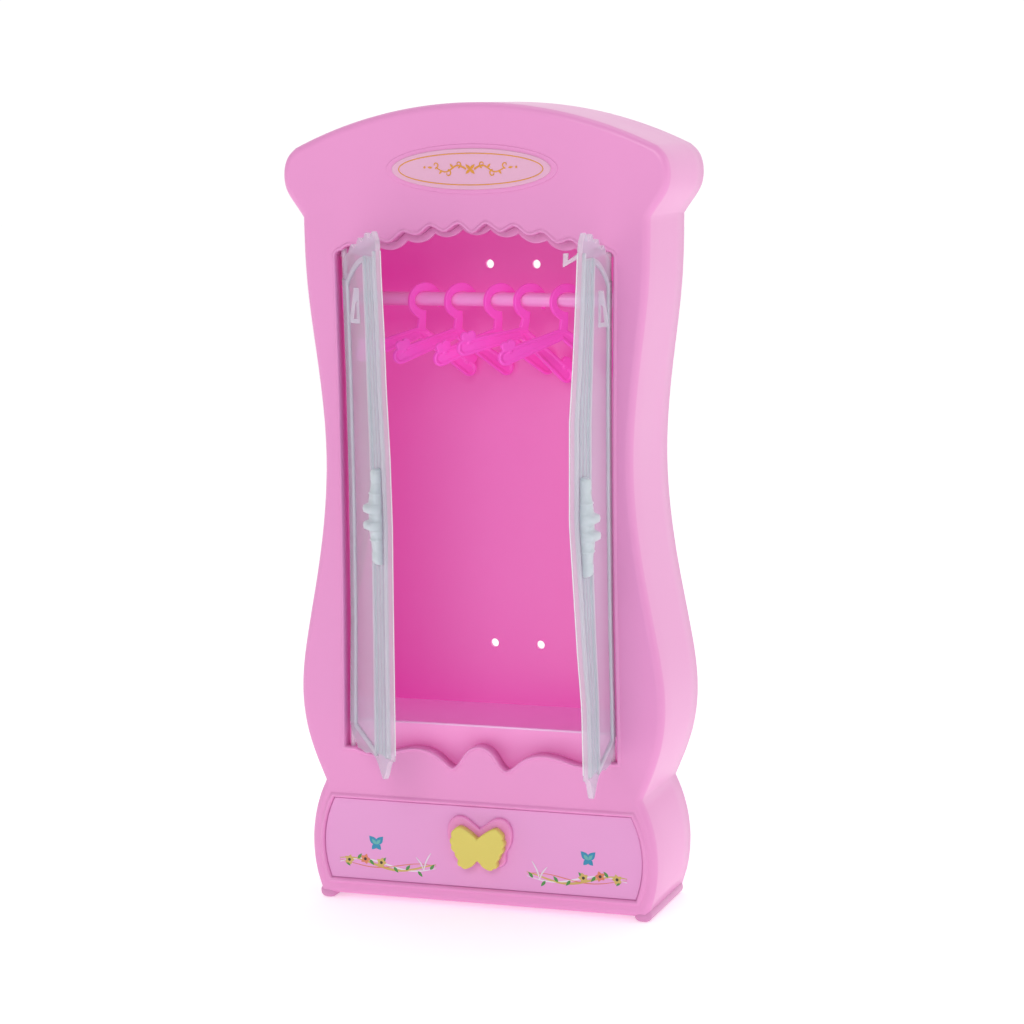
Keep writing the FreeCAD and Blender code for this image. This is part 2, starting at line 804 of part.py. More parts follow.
def make_catch():
    """V-shaped catch on the right door's inner face."""
    body = new_body("right_door_catch")
    face = size("pivot_depth") + size("door_thickness") / 2 + size("bond_gap")
    leg = size("catch_leg")
    low = size("catch_height") + leg
    bottom = low - size("catch_drop")
    tip = size("catch_height") + size("catch_tip")
    reach = face + size("catch_reach")
    inside = reach - size("catch_tip_thickness")
    legs = [(face, low), (reach, bottom), (reach, tip)]
    legs += [(inside, tip), (inside, bottom + leg), (face, low + leg)]
    feature = body.newObject("PartDesign::Pad", "catch_leg")
    feature.Profile = sketch(body, "catch_leg_sketch", "YZ_Plane", size("catch_offset"), polygon(legs))
    feature.setExpression("Length", "Sizes.hook_thickness")
    doc.recompute()
    return swing(body, 1)


def hook_outline():
    """Open hook: an oval eye in a round ring, cut away at its lower back."""
    outer = size("hook_ring_radius")
    drop = size("hook_drop")
    half_width = size("eye_half_width")
    half_height = size("eye_half_height")
    shift = size("eye_shift")
    tip, heel = size("hook_tip_angle"), size("hook_heel_angle")
    angles = [math.radians(tip + (heel - tip) * i / 12) for i in range(13)]
    rim = [(outer * math.cos(a), outer * math.sin(a) - drop) for a in angles]
    eye = [(shift + half_width * math.cos(a), half_height * math.sin(a) - drop) for a in angles]
    return [
        arc(rim[0], rim[3], rim[6]),
        arc(rim[6], rim[9], rim[12]),
        line(rim[12], eye[12]),
        spline(eye[::-1]),
        line(eye[0], rim[0]),
    ]


def arm_outline(side):
    """One arm: it droops and widens to a round end."""
    root = Vector(0, -size("stem_bottom"), 0)
    droop = math.radians(size("arm_droop"))
    along = Vector(side * math.cos(droop), -math.sin(droop), 0)
    across = Vector(side * math.sin(droop), math.cos(droop), 0)
    end = root + along * size("arm_span")
    thin = size("arm_root_radius")
    thick = size("arm_end_radius")
    points = [root + across * thin, end + across * thick, end + along * thick]
    points += [end - across * thick, root - across * thin, root - along * thin]
    flat = [(p.x, p.y) for p in points]
    return [
        line(flat[0], flat[1]),
        arc(flat[1], flat[2], flat[3]),
        line(flat[3], flat[4]),
        arc(flat[4], flat[5], flat[0]),
    ]


def make_hanger(number):
    """Flat clothes hanger: hook, stem, two arms and a two-lobed stop on each arm."""
    name = "hanger_%d" % (number + 1)
    body = new_body(name)
    start = -size("hanger_thickness") / 2
    thickness = "Sizes.hanger_thickness"
    pad(body, name + "_hook", hook_outline(), start, thickness)
    half = size("stem_half_width")
    ring_bottom = -size("hook_drop") - size("eye_half_height") - size("stem_overlap")
    stem = rectangle((-half, -size("stem_bottom")), (half, ring_bottom))
    pad(body, name + "_stem", stem, start, thickness)
    droop = math.radians(size("arm_droop"))
    span = size("arm_span") - size("lobe_inset")
    lobes = (("inner", -size("lobe_spacing") / 2), ("outer", size("lobe_spacing") / 2))
    for side, word in ((-1, "front"), (1, "rear")):
        pad(body, "%s_%s_arm" % (name, word), arm_outline(side), start, thickness)
        for place, shift in lobes:
            reach = span + shift
            x = side * (reach * math.cos(droop) + size("lobe_rise") * math.sin(droop))
            z = size("lobe_rise") * math.cos(droop) - reach * math.sin(droop) - size("stem_bottom")
            lobe = [circle(x, z, size("lobe_radius"))]
            pad(body, "%s_%s_lobe_%s" % (name, word, place), lobe, start, thickness)
    shift, turn, tilt = HANGER_SET[number]
    x = size("first_hanger") + number * size("hanger_spacing") + shift
    place = Vector(x, size("rail_depth"), size("rail_height"))
    lean = Rotation(Vector(0, 1, 0), size("hanger_tilt") + tilt)
    facing = Rotation(Vector(0, 0, 1), size("hanger_turn") + turn)
    body.Placement = Placement(place, facing.multiply(lean))
    return body


def make_parts():
    parts = [make_cabinet_shell(), make_back_panel(), make_closet_floor(), make_crest_plaque(), make_rail()]
    for word, side in (("left", -1), ("right", 1)):
        parts.append(make_foot(word + "_foot", side))
        parts.append(make_rail_socket(word + "_rail_socket", side))
        parts.append(make_runner(word + "_drawer_runner", side))
        parts.append(make_sticker(word + "_sticker", side))
        parts.append(make_door(word + "_door_leaf", side))
        parts.append(make_handle(word + "_door_handle", side))
        parts.append(make_door_hook(word + "_door_hook", side))
    parts += [make_catch(), make_drawer_front(), make_drawer_tray()]
    parts += [make_knob_pad(), make_butterfly_knob(), make_knob_screw()]
    parts += [make_hanger(number) for number in range(HANGER_COUNT)]
    return parts


def check_and_write(parts):
    """Stop on any failed object or unsound shape, then write one STEP file a part."""
    doc.recompute()
    for item in doc.Objects:
        if {"Invalid", "Error"} & set(item.State):
            raise RuntimeError("failed object: " + item.Name)
    for part in parts:
        if part.Shape.isNull() or not part.Shape.isValid() or not part.Shape.Solids:
            raise RuntimeError("unsound shape: " + part.Label)
    os.makedirs("parts", exist_ok=True)
    for part in parts:
        part.Shape.exportStep("parts/%s.step" % part.Label)
        print("%-22s %8.0f mm3, %d solid(s)" % (part.Label, part.Shape.Volume, len(part.Shape.Solids)))


check_and_write(make_parts())
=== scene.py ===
import math

import bmesh
import bpy
import numpy as np
from mathutils import Matrix, Vector, geometry


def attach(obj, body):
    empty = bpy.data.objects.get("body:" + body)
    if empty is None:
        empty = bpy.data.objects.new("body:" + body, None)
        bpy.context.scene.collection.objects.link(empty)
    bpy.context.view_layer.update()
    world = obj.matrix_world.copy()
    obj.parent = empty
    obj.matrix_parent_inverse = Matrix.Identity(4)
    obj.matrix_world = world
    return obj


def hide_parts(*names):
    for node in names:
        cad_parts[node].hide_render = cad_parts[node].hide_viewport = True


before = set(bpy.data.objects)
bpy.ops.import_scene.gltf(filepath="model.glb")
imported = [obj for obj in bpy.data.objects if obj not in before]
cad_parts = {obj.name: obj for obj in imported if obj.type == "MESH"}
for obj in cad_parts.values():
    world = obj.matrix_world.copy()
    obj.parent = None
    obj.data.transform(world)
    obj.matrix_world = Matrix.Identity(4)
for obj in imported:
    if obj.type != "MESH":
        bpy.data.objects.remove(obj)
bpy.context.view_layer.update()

# Looks of the miniature wardrobe. Lengths are in millimetres in the CAD frame (+X right, +Y back,
# +Z up) and turn into metres when a piece is made. The doors are built shut and then swung open.

MM = 0.001

# ------------------------------------------------------------------ curves


def spline(points, count):
    """Points along one smooth curve through the given ones."""
    p = np.array(points, float)
    t = np.concatenate([[0.0], np.cumsum(np.linalg.norm(np.diff(p, axis=0), axis=1))])
    n = len(p)
    h = np.diff(t)
    system = np.eye(n)
    right = np.zeros_like(p)
    for i in range(1, n - 1):
        system[i, i - 1:i + 2] = (h[i - 1], 2 * (h[i - 1] + h[i]), h[i])
        right[i] = 6 * ((p[i + 1] - p[i]) / h[i] - (p[i] - p[i - 1]) / h[i - 1])
    bend = np.linalg.solve(system, right)
    s = np.linspace(0.0, t[-1], count + 1)
    k = np.clip(np.searchsorted(t, s, side="right") - 1, 0, n - 2)
    span = h[k][:, None]
    a = (t[k + 1] - s)[:, None] / span
    b = 1 - a
    curve = a * p[k] + b * p[k + 1]
    curve += ((a ** 3 - a) * bend[k] + (b ** 3 - b) * bend[k + 1]) * span ** 2 / 6
    return [tuple(q) for q in curve]


def arc(start, middle, end, count):
    """Points along the round stretch through three points."""
    (ax, ay), (bx, by), (cx, cy) = start, middle, end
    d = 2 * (ax * (by - cy) + bx * (cy - ay) + cx * (ay - by))
    sa, sb, sc = ax * ax + ay * ay, bx * bx + by * by, cx * cx + cy * cy
    x = (sa * (by - cy) + sb * (cy - ay) + sc * (ay - by)) / d
    y = (sa * (cx - bx) + sb * (ax - cx) + sc * (bx - ax)) / d
    radius = math.hypot(ax - x, ay - y)
    first = math.atan2(ay - y, ax - x)
    turn = (math.atan2(by - y, bx - x) - first) % (2 * math.pi)
    total = (math.atan2(cy - y, cx - x) - first) % (2 * math.pi)
    if turn > total:
        total -= 2 * math.pi
    angles = [first + total * i / count for i in range(count + 1)]
    return [(x + radius * math.cos(a), y + radius * math.sin(a)) for a in angles]


def straight(start, end, count):
    return [tuple(np.array(start) + (np.array(end) - np.array(start)) * i / count) for i in range(count + 1)]


def joined(*stretches):
    """Stretches one after the other as one closed outline, without doubled points."""
    outline = []
    for stretch in stretches:
        for point in stretch:
            if not outline or math.dist(outline[-1], point) > 1e-4:
                outline.append(tuple(point))
    if math.dist(outline[0], outline[-1]) < 1e-4:
        outline.pop()
    return outline


def mirrored(points):
    return [(-x, z) for x, z in reversed(points)]


def area(outline):
    x, z = np.array(outline, float).T
    return 0.5 * float(np.dot(x, np.roll(z, -1)) - np.dot(z, np.roll(x, -1)))


def grown(outline, grow):
    """A closed outline moved outwards by grow, with mitred corners."""
    p = np.array(outline, float)
    if area(outline) < 0:
        grow = -grow
    step = np.roll(p, -1, axis=0) - p
    step /= np.linalg.norm(step, axis=1)[:, None]
    after = np.stack([step[:, 1], -step[:, 0]], axis=1)
    before = np.roll(after, 1, axis=0)
    share = 1 + (after * before).sum(axis=1)
    moved = p + grow * (after + before) / np.maximum(share, 0.35)[:, None]
    return [tuple(q) for q in moved]


def ellipse(x, z, half_width, half_height, count=64):
    angles = [2 * math.pi * i / count for i in range(count)]
    return [(x + half_width * math.cos(a), z + half_height * math.sin(a)) for a in angles]


# ------------------------------------------------------------------ mesh building


class Shape:
    """Vertices in millimetres with faces, which are smooth or flat and have a paint number."""

    def __init__(self):
        self.points = []
        self.faces = []
        self.flat = []
        self.paint = []

    def ring(self, points):
        first = len(self.points)
        self.points += [tuple(p) for p in points]
        return list(range(first, len(self.points)))

    def face(self, corners, flat=False, paint=0):
        self.faces.append(tuple(corners))
        self.flat.append(flat)
        self.paint.append(paint)

    def band(self, a, b, paint=0, flat=False):
        n = len(a)
        for i in range(n):
            j = (i + 1) % n
            self.face((a[i], a[j], b[j], b[i]), flat, paint)

    def bands(self, rings, paint=0):
        for a, b in zip(rings, rings[1:]):
            self.band(a, b, paint)

    def cap(self, *rings, paint=0):
        """Flat face inside the first ring and outside the others."""
        loops = [[Vector(self.points[i]) for i in ring] for ring in rings]
        order = [i for ring in rings for i in ring]
        for corners in geometry.tessellate_polygon(loops):
            self.face([order[i] for i in corners], True, paint)

    def move(self, change):
        self.points = [tuple(change(*p)) for p in self.points]
        return self


def flat_ring(shape, outline, y):
    """An outline of (x, z) points as a ring at depth y."""
    return shape.ring([(x, y, z) for x, z in outline])


def bevel_steps(radius, count=4):
    """(inset, setback) pairs that turn a face's edge round."""
    angles = [math.pi / 2 * i / count for i in range(count + 1)]
    return [(radius - radius * math.sin(a), radius - radius * math.cos(a)) for a in angles]


def plate(shape, outline, front, back, front_round=0.3, back_round=0.2, paint=0):
    """A flat plate between two depths with rounded edges."""
    rings = []
    for inset, setback in bevel_steps(front_round):
        rings.append(flat_ring(shape, grown(outline, -inset), front + setback))
    for inset, setback in reversed(bevel_steps(back_round, 2)):
        rings.append(flat_ring(shape, grown(outline, -inset), back - setback))
    shape.bands(rings, paint=paint)
    shape.cap(rings[0], paint=paint)
    shape.cap(rings[-1], paint=paint)
    return shape


def frame_bar(shape, outline, width, front, back):
    """A raised closed ridge that runs inwards from the outline."""
    round_off = 0.3
    profile = [(0, back), (0, front + round_off), (round_off * 0.3, front + round_off * 0.3)]
    profile += [(round_off, front), (width - round_off, front)]
    profile += [(width - round_off * 0.3, front + round_off * 0.3), (width, front + round_off), (width, back)]
    rings = [flat_ring(shape, grown(outline, -inset), y) for inset, y in profile]
    shape.bands(rings + rings[:1])


def lathe(shape, stations, place, segments=40, paint=0):
    """Rings of (position, radius a, radius b) along an axis; place turns them into x, y, z."""
    rings = []
    for along, a, b in stations:
        circle = [2 * math.pi * i / segments for i in range(segments)]
        rings.append(shape.ring([place(along, a * math.cos(t), b * math.sin(t)) for t in circle]))
    shape.bands(rings, paint=paint)
    shape.cap(rings[0], paint=paint)
    shape.cap(rings[-1], paint=paint)


def tube(shape, path, width, height, y, segments=8, paint=0, closed=False):
    """A low rounded line that lies on the plane y along (x, z) points; width may change along it."""
    p = np.array(path, float)
    n = len(p)
    widths = width if hasattr(width, "__len__") else [width] * n
    ahead = np.roll(p, -1, axis=0) if closed else np.vstack([p[1:], p[-1:]])
    behind = np.roll(p, 1, axis=0) if closed else np.vstack([p[:1], p[:-1]])
    along = ahead - behind
    along /= np.linalg.norm(along, axis=1)[:, None]
    rings = []
    for (x, z), (dx, dz), w in zip(p, along, widths):
        angles = [2 * math.pi * i / segments for i in range(segments)]
        ring = []
        for a in angles:
            side = w / 2 * math.cos(a)
            ring.append((x - dz * side, y - height * max(0.0, math.sin(a)), z + dx * side))
        rings.append(shape.ring(ring))
    shape.bands(rings + (rings[:1] if closed else []), paint=paint)
    if not closed:
        shape.cap(rings[0], paint=paint)
        shape.cap(rings[-1], paint=paint)


def piece(name, shape, materials, body, replaces=(), place=None, refine=None):
    """Turns a shape into an object that rides on a body. place puts it there from its own axes."""
    mesh = bpy.data.meshes.new(name)
    mesh.from_pydata([Vector(p) * MM for p in shape.points], [], shape.faces)
    for polygon, flat, paint in zip(mesh.polygons, shape.flat, shape.paint):
        polygon.use_smooth = not flat
        polygon.material_index = paint
    work = bmesh.new()
    work.from_mesh(mesh)
    bmesh.ops.remove_doubles(work, verts=work.verts, dist=1e-7)
    bmesh.ops.recalc_face_normals(work, faces=work.faces)
    work.to_mesh(mesh)
    work.free()
    for material in materials:
        mesh.materials.append(material)
    made = bpy.data.objects.new(name, mesh)
    bpy.context.scene.collection.objects.link(made)
    if place is not None:
        made.matrix_world = place
    if refine is not None:
        refine(made)
    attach(made, body)
    if replaces:
        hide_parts(*replaces)
    return made


# ------------------------------------------------------------------ materials


def new_material(name):
    material = bpy.data.materials.new(name)
    material.use_nodes = True
    tree = material.node_tree
    shader = tree.nodes["Principled BSDF"]
    return material, tree, shader


def noise(tree, scale, detail=2.0, roughness=0.5):
    coordinates = tree.nodes.new("ShaderNodeTexCoord")
    texture = tree.nodes.new("ShaderNodeTexNoise")
    texture.inputs["Scale"].default_value = scale
    texture.inputs["Detail"].default_value = detail
    texture.inputs["Roughness"].default_value = roughness
    tree.links.new(coordinates.outputs["Object"], texture.inputs["Vector"])
    return texture


def spread(tree, value, low, high):
    """Maps a noise value to a range."""
    remap = tree.nodes.new("ShaderNodeMapRange")
    remap.interpolation_type = "SMOOTHSTEP"
    remap.inputs["From Min"].default_value = 0.2
    remap.inputs["From Max"].default_value = 0.8
    remap.inputs["To Min"].default_value = low
    remap.inputs["To Max"].default_value = high
    tree.links.new(value, remap.inputs["Value"])
    return remap.outputs["Result"]


GRAIN_DEPTH = 0.000012


def plastic(name, colour, rough=(0.29, 0.36), alpha=1.0, shade=0.03, glow=None, glow_strength=0.0):
    """Moulded plastic: a fine satin grain, slow changes of gloss, and faint colour flow; a glow, where given,
    is an emission that paints light onto the surface.
    """
    material, tree, shader = new_material(name)
    slow = noise(tree, 34.0, 2.0)
    fine = noise(tree, 700.0, 1.0)
    flow = noise(tree, 12.0, 3.0, 0.6)
    mix = tree.nodes.new("ShaderNodeMix")
    mix.data_type = "RGBA"
    darker = tuple(c * (1 - shade) for c in colour)
    mix.inputs[6].default_value = (*colour, 1.0)
    mix.inputs[7].default_value = (*darker, 1.0)
    tree.links.new(spread(tree, flow.outputs["Fac"], 0.0, 1.0), mix.inputs[0])
    tree.links.new(mix.outputs[2], shader.inputs["Base Color"])
    tree.links.new(spread(tree, slow.outputs["Fac"], rough[0], rough[1]), shader.inputs["Roughness"])
    bump = tree.nodes.new("ShaderNodeBump")
    bump.inputs["Strength"].default_value = 0.35
    bump.inputs["Distance"].default_value = GRAIN_DEPTH
    tree.links.new(fine.outputs["Fac"], bump.inputs["Height"])
    tree.links.new(bump.outputs["Normal"], shader.inputs["Normal"])
    shader.inputs["Alpha"].default_value = alpha
    if glow:
        shader.inputs["Emission Color"].default_value = (*glow, 1.0)
        shader.inputs["Emission Strength"].default_value = glow_strength
    return material


PINK = plastic("pink_plastic", (0.845, 0.315, 0.635), rough=(0.29, 0.33), shade=0.02)
# Painted shade: the feet get a darker copy of the pink plastic, which holds down the light they catch from
# the floor.
FOOT = plastic("foot_pink_painted_shade", (0.70, 0.27, 0.53))
# Painted light: the inner sheets get a darker copy of the pink with a faint deep pink glow, which stands in
# for light let through the thin walls from behind.
INNER = plastic("inner_pink_painted_glow", (0.58, 0.235, 0.46), rough=(0.30, 0.42), glow=(1.0, 0.01, 0.45),
                glow_strength=0.345)
# Painted light: the closet floor and its apron are the same pink plastic, made lighter and given a glow that
# stands in for the light reaching them in the recess.
FLOOR = plastic("floor_pink_painted_light", (0.78, 0.60, 0.80), rough=(0.30, 0.42), glow=(1.0, 0.24, 0.66),
                glow_strength=0.22)
APRON = plastic("apron_pink_painted_light", (0.97, 0.48, 0.80), rough=(0.30, 0.42), glow=(1.0, 0.22, 0.63),
                glow_strength=0.27)
DRAWER = plastic("drawer_pink_plastic", (0.815, 0.352, 0.675), rough=(0.29, 0.33), shade=0.02)
PAD = plastic("pad_pink_plastic", (0.86, 0.30, 0.61))
PLAQUE = plastic("plaque_lilac_plastic", (0.81, 0.44, 0.625), rough=(0.30, 0.40))
# Painted light: a faint pink glow brightens the rail.
RAIL = plastic("rail_pink_plastic", (0.95, 0.36, 0.78), rough=(0.29, 0.33), glow=(1.0, 0.35, 0.75),
               glow_strength=0.07)
# Painted light: a magenta glow brightens the hangers.
MAGENTA = plastic("hanger_magenta_plastic", (0.97, 0.085, 0.62), rough=(0.29, 0.34), shade=0.04,
                  glow=(1.0, 0.2, 0.8), glow_strength=0.15)
YELLOW = plastic("knob_yellow_plastic", (0.74, 0.64, 0.13), rough=(0.32, 0.42), shade=0.05)
FROSTED = plastic("frosted_plastic", (0.62, 0.64, 0.74), rough=(0.30, 0.42), alpha=0.4, shade=0.04)
RIDGE = plastic("frosted_ridge_plastic", (0.68, 0.73, 0.79), rough=(0.29, 0.38), alpha=0.5, shade=0.04)
SOLID = plastic("frosted_solid_plastic", (0.70, 0.77, 0.82), rough=(0.29, 0.36), alpha=0.72, shade=0.04)
EDGE = plastic("frosted_edge_plastic", (0.80, 0.78, 0.86), rough=(0.29, 0.34), alpha=0.45, shade=0.02)
BAND = plastic("frosted_band_plastic", (0.66, 0.75, 0.80), rough=(0.29, 0.40), alpha=0.36, shade=0.04)
# Painted highlight: near-white, nearly opaque strips stand for the glints along the doors' edges.
PAINTED_GLINT = plastic("frosted_painted_glint", (0.92, 0.94, 0.96), rough=(0.29, 0.35), alpha=0.85, shade=0.02)
GOLD = plastic("gold_print", (0.85, 0.36, 0.04), rough=(0.30, 0.45), shade=0.2)
STEEL = plastic("screw_steel", (0.55, 0.55, 0.56), rough=(0.29, 0.42))
STEEL.node_tree.nodes["Principled BSDF"].inputs["Metallic"].default_value = 1.0
INKS = [
    plastic("print_white", (0.86, 0.78, 0.86), rough=(0.35, 0.50), shade=0.12),
    plastic("print_blue", (0.03, 0.30, 0.50), rough=(0.35, 0.50), shade=0.35),
    plastic("print_teal", (0.14, 0.50, 0.48), rough=(0.35, 0.50), shade=0.35),
    plastic("print_yellow", (0.70, 0.50, 0.14), rough=(0.35, 0.50), shade=0.3),
    plastic("print_orange", (0.78, 0.25, 0.12), rough=(0.35, 0.50), shade=0.3),
    plastic("print_green", (0.08, 0.33, 0.07), rough=(0.35, 0.50), shade=0.4),
    plastic("print_dark", (0.05, 0.04, 0.03), rough=(0.35, 0.50), shade=0.3),
    plastic("print_tan", (0.66, 0.36, 0.26), rough=(0.35, 0.50), shade=0.2),
]
WHITE_INK, BLUE_INK, TEAL_INK, YELLOW_INK, ORANGE_INK, GREEN_INK, DARK_INK, TAN_INK = range(len(INKS))

# ------------------------------------------------------------------ cabinet

DEPTH = 47.3
WALL = 2.0
FRONT_ROUND = 2.8
PINCH = (62.6, 46.0)
NECK = (66.9, 258.8)
SIDE = [PINCH, (69.6, 65.0), (71.4, 82.0), (68.8, 103.0), (64.2, 127.0), (59.9, 170.0), (63.1, 209.0),
        (66.2, 236.0), NECK]
CREST_SIDE = [NECK, (68.7, 261.5), (71.5, 265.4), (73.6, 269.2), (74.4, 273.5), (74.1, 277.4), (72.6, 281.2),
              (69.5, 284.3)]
CREST_TOP = 300.3
BASE = [(64.6, 2.0), (68.3, 24.0), PINCH]
BEAD_MIDDLE = 0.6
CLOSET_BEAD = [(1.0, 0), (0.8, -0.12), (0.55, -0.42), (0.28, -0.7), (0.0, -0.8), (-0.25, -0.7),
               (-0.45, -0.42), (-0.58, 0.0), (-0.6, 0.6), (-0.6, 4.7)]
RIM_WIDTH = 1.6


def cabinet_side():
    """The right side from the base's bottom corner to the crest's end, sharp at corner, pinch and neck."""
    base = list(arc(*BASE, 24))
    base = base[:1] + base[4:]
    base = [p for p in base if math.dist(p, PINCH) > 3.0 or p == base[-1]]
    side = spline(SIDE, 110)
    side = [p for p in side if math.dist(p, PINCH) > 0.1]
    crest = spline(CREST_SIDE, 26)
    return base + side[:-1] + crest


def cabinet_outline():
    right = cabinet_side()
    end = right[-1]
    top = arc(end, (0, CREST_TOP), (-end[0], end[1]), 90)
    bottom = straight(mirrored(right[:1])[0], right[0], 20)
    bottom = bottom[:1] + bottom[2:-2] + bottom[-1:]
    return joined(bottom, right, top, mirrored(right))


def arch(x):
    return 246.3 + 5.0 * (1 + math.cos(math.pi * x / 60.0))


PITCH = 10.8
SCALLOP_RISE = 1.15
MIDDLE_DIP = 0.6
DROP = [(0.0, 1.6), (5.4, 0.9), (10.8, 1.0), (16.2, 0.25), (21.6, 0.0)]


def scallop(x):
    wave = math.cos(2 * math.pi * x / PITCH)
    dip = MIDDLE_DIP * (1 + wave) / 2 if abs(x) < PITCH / 2 else 0
    drop = float(np.interp(abs(x), *zip(*DROP)))
    return arch(x) - SCALLOP_RISE * wave - dip - drop


OPENING_HALF = 53.6
OPENING_BOTTOM = 59.8
OPENING_CORNER = 2.0
WAIST = 1.0


def bottom_wave():
    """The right half of the opening's bottom edge, from the middle to the flat."""
    inner = [(0, 63.0), (3.0, 62.2), (5.8, 59.6), (8.2, 56.0), (10.4, 54.4)]
    outer = [(13.2, 55.7), (16.8, 58.6), (21.0, 60.5), (26.0, 61.0), (31.5, 60.0), (37.0, 58.4), (42.0, 57.9),
             (46.5, 58.7), (50.0, OPENING_BOTTOM)]
    points = inner + outer
    full = [(-x, z) for x, z in points[:0:-1]] + points
    return [q for q in spline(full, 260) if q[0] >= -1e-6]


def joined_open(*stretches):
    points = []
    for stretch in stretches:
        points += [p for p in stretch if not points or math.dist(points[-1], p) > 1e-4]
    return points


def opening_outline():
    """The middle line of the closet opening's bead, counterclockwise from the bottom left corner."""
    out = BEAD_MIDDLE
    right = [(x, z - out) for x, z in bottom_wave()]
    corner = OPENING_HALF - OPENING_CORNER
    high = scallop(corner) + out
    top = [(x, scallop(x) + out) for x in np.linspace(corner, -corner, 161)]
    low_corner = (OPENING_HALF + out, OPENING_BOTTOM - out)
    start = (OPENING_HALF + out, high - OPENING_CORNER - out)
    soft = (OPENING_CORNER + out) * (1 - math.sqrt(0.5))
    turn = arc(start, (OPENING_HALF + out - soft, high - soft), top[0], 6)
    flat = straight(right[-1], low_corner, 2)
    jamb = straight(low_corner, start, 30)
    jamb = [(x - WAIST * math.sin(math.pi * i / (len(jamb) - 1)), z) for i, (x, z) in enumerate(jamb)]
    half = joined_open(right, flat[:-1], jamb, turn)
    left = mirrored(half)
    return joined(left[-1:] + half, top, left)


def drawer_outline(grow=0.0):
    top = (58.4, 39.2)
    side = (62.4, 24.0)
    bottom = (60.0, 9.0)
    right = arc(bottom, side, top, 16)
    across = straight(top, (-top[0], top[1]), 24)
    under = straight((-bottom[0], bottom[1]), bottom, 24)
    outline = joined(under, right, across, mirrored(right))
    return grown(outline, grow) if grow else outline


DRAWER_GAP = 0.5
DRAWER_BEAD = [(2.1, 0), (1.85, -0.14), (1.55, -0.5), (1.2, -0.78), (0.85, -0.84), (0.45, -0.62),
               (0.15, -0.2), (0.0, 0.35), (0.0, 2.0)]


def build_cabinet():
    shape = Shape()
    outline = cabinet_outline()
    outside = [flat_ring(shape, grown(outline, -i), y) for i, y in bevel_steps(FRONT_ROUND, 9)]
    depths = (12.0, 24.0, 36.0, DEPTH - 0.4)
    outside += [flat_ring(shape, outline, y) for y in depths]
    outside.append(flat_ring(shape, grown(outline, -0.12), DEPTH - 0.12))
    outside.append(flat_ring(shape, grown(outline, -0.4), DEPTH))
    shape.bands(outside)
    inside = [flat_ring(shape, grown(outline, -WALL), y) for y in (DEPTH, 24.0, WALL)]
    shape.band(outside[-1], inside[0], flat=True)
    shape.bands(inside)
    opening = opening_outline()
    closet = [flat_ring(shape, grown(opening, g), y) for g, y in CLOSET_BEAD]
    closet.append(flat_ring(shape, grown(opening, RIM_WIDTH), CLOSET_BEAD[-1][1]))
    closet.append(flat_ring(shape, grown(opening, RIM_WIDTH), WALL))
    shape.bands(closet)
    drawer = [flat_ring(shape, drawer_outline(DRAWER_GAP + g), y) for g, y in DRAWER_BEAD]
    shape.bands(drawer)
    shape.cap(outside[0], closet[0], drawer[0])
    shape.cap(inside[-1], closet[-1], drawer[-1])
    piece("cabinet_skin", shape, [PINK], "cabinet", ["cabinet_shell"])


def build_lip():
    """The recessed lip whose round scallops hang behind the opening's top edge."""
    half = OPENING_HALF + 1.3
    drop = 1.8
    hang = 2.1
    places = [PITCH * (k + 0.5) for k in range(-5, 5)]
    ends = [arch(half) - drop - hang / 2] * 2
    low = [(-half, ends[0])]
    for start, end in zip(places, places[1:]):
        a, b = (start, arch(start) - drop), (end, arch(end) - drop)
        low += arc(a, ((start + end) / 2, (a[1] + b[1]) / 2 - hang), b, 12)
    low.append((half, ends[1]))
    top = [(x, scallop(x) + 1.3) for x in np.linspace(half, -half, 90)]
    plate(shape := Shape(), joined(low, top), 4.72, 6.2, 0.35, 0.2)
    piece("opening_lip", shape, [PINK], "cabinet")


def build_back():
    shape = Shape()
    outline = grown(cabinet_outline(), -WALL - 0.15)
    front, back = DEPTH - 2.0, DEPTH
    rings = [flat_ring(shape, outline, y) for y in (front, back)]
    shape.band(*rings)
    fronts, backs = [rings[0]], [rings[1]]
    for x in (-9.3, 9.3):
        for z in (93.5, 239.5):
            hole = ellipse(x, z, 1.65, 1.65, 28)
            profile = [(0.35, front), (0.1, front + 0.1), (0, front + 0.35), (0, back)]
            levels = [flat_ring(shape, grown(hole, g), y) for g, y in profile]
            shape.bands(levels)
            fronts.append(levels[0])
            backs.append(levels[-1])
    # The back sheet's front faces take the glowing inner pink, which is painted light; its outer back takes
    # the plain pink.
    shape.cap(*fronts)
    shape.cap(*backs, paint=1)
    piece("back_sheet", shape, [INNER, PINK], "cabinet", ["back_panel"])


def build_floor():
    """Closet floor and the apron under its front edge, with a rounded front corner."""
    shape = Shape()
    top, front = 69.8, 4.8
    corner = [(front + s, top - i) for i, s in bevel_steps(0.7, 4)]
    under = top - 2
    back = 45.1
    profile = corner[::-1] + [(back, top), (back, under)]
    profile += [(front + 2, under), (front + 2, 48.0), (front, 48.0)]
    profile = [(y, z) for y, z in joined(profile)]
    rings = [shape.ring([(x, y, z) for y, z in profile]) for x in (-61.3, 61.3)]
    shape.band(*rings)
    # The apron's front face takes the apron paint, lighter and glowing: painted light.
    last = len(profile) - 1
    for i in range(len(profile)):
        shape.paint[i] = 1 if i == last else 0
    shape.cap(rings[0])
    shape.cap(rings[1])
    for side in (-1, 1):
        section = [(front + 0.4, under), (back, under), (back, top), (front + 0.4, top)]
        ends = [shape.ring([(side * x, y, z) for y, z in section]) for x in (61.3, 67.2)]
        shape.band(*ends, flat=True)
        shape.cap(ends[0])
        shape.cap(ends[1])
    piece("closet_floor_panel", shape, [FLOOR, APRON], "cabinet", ["closet_floor"])


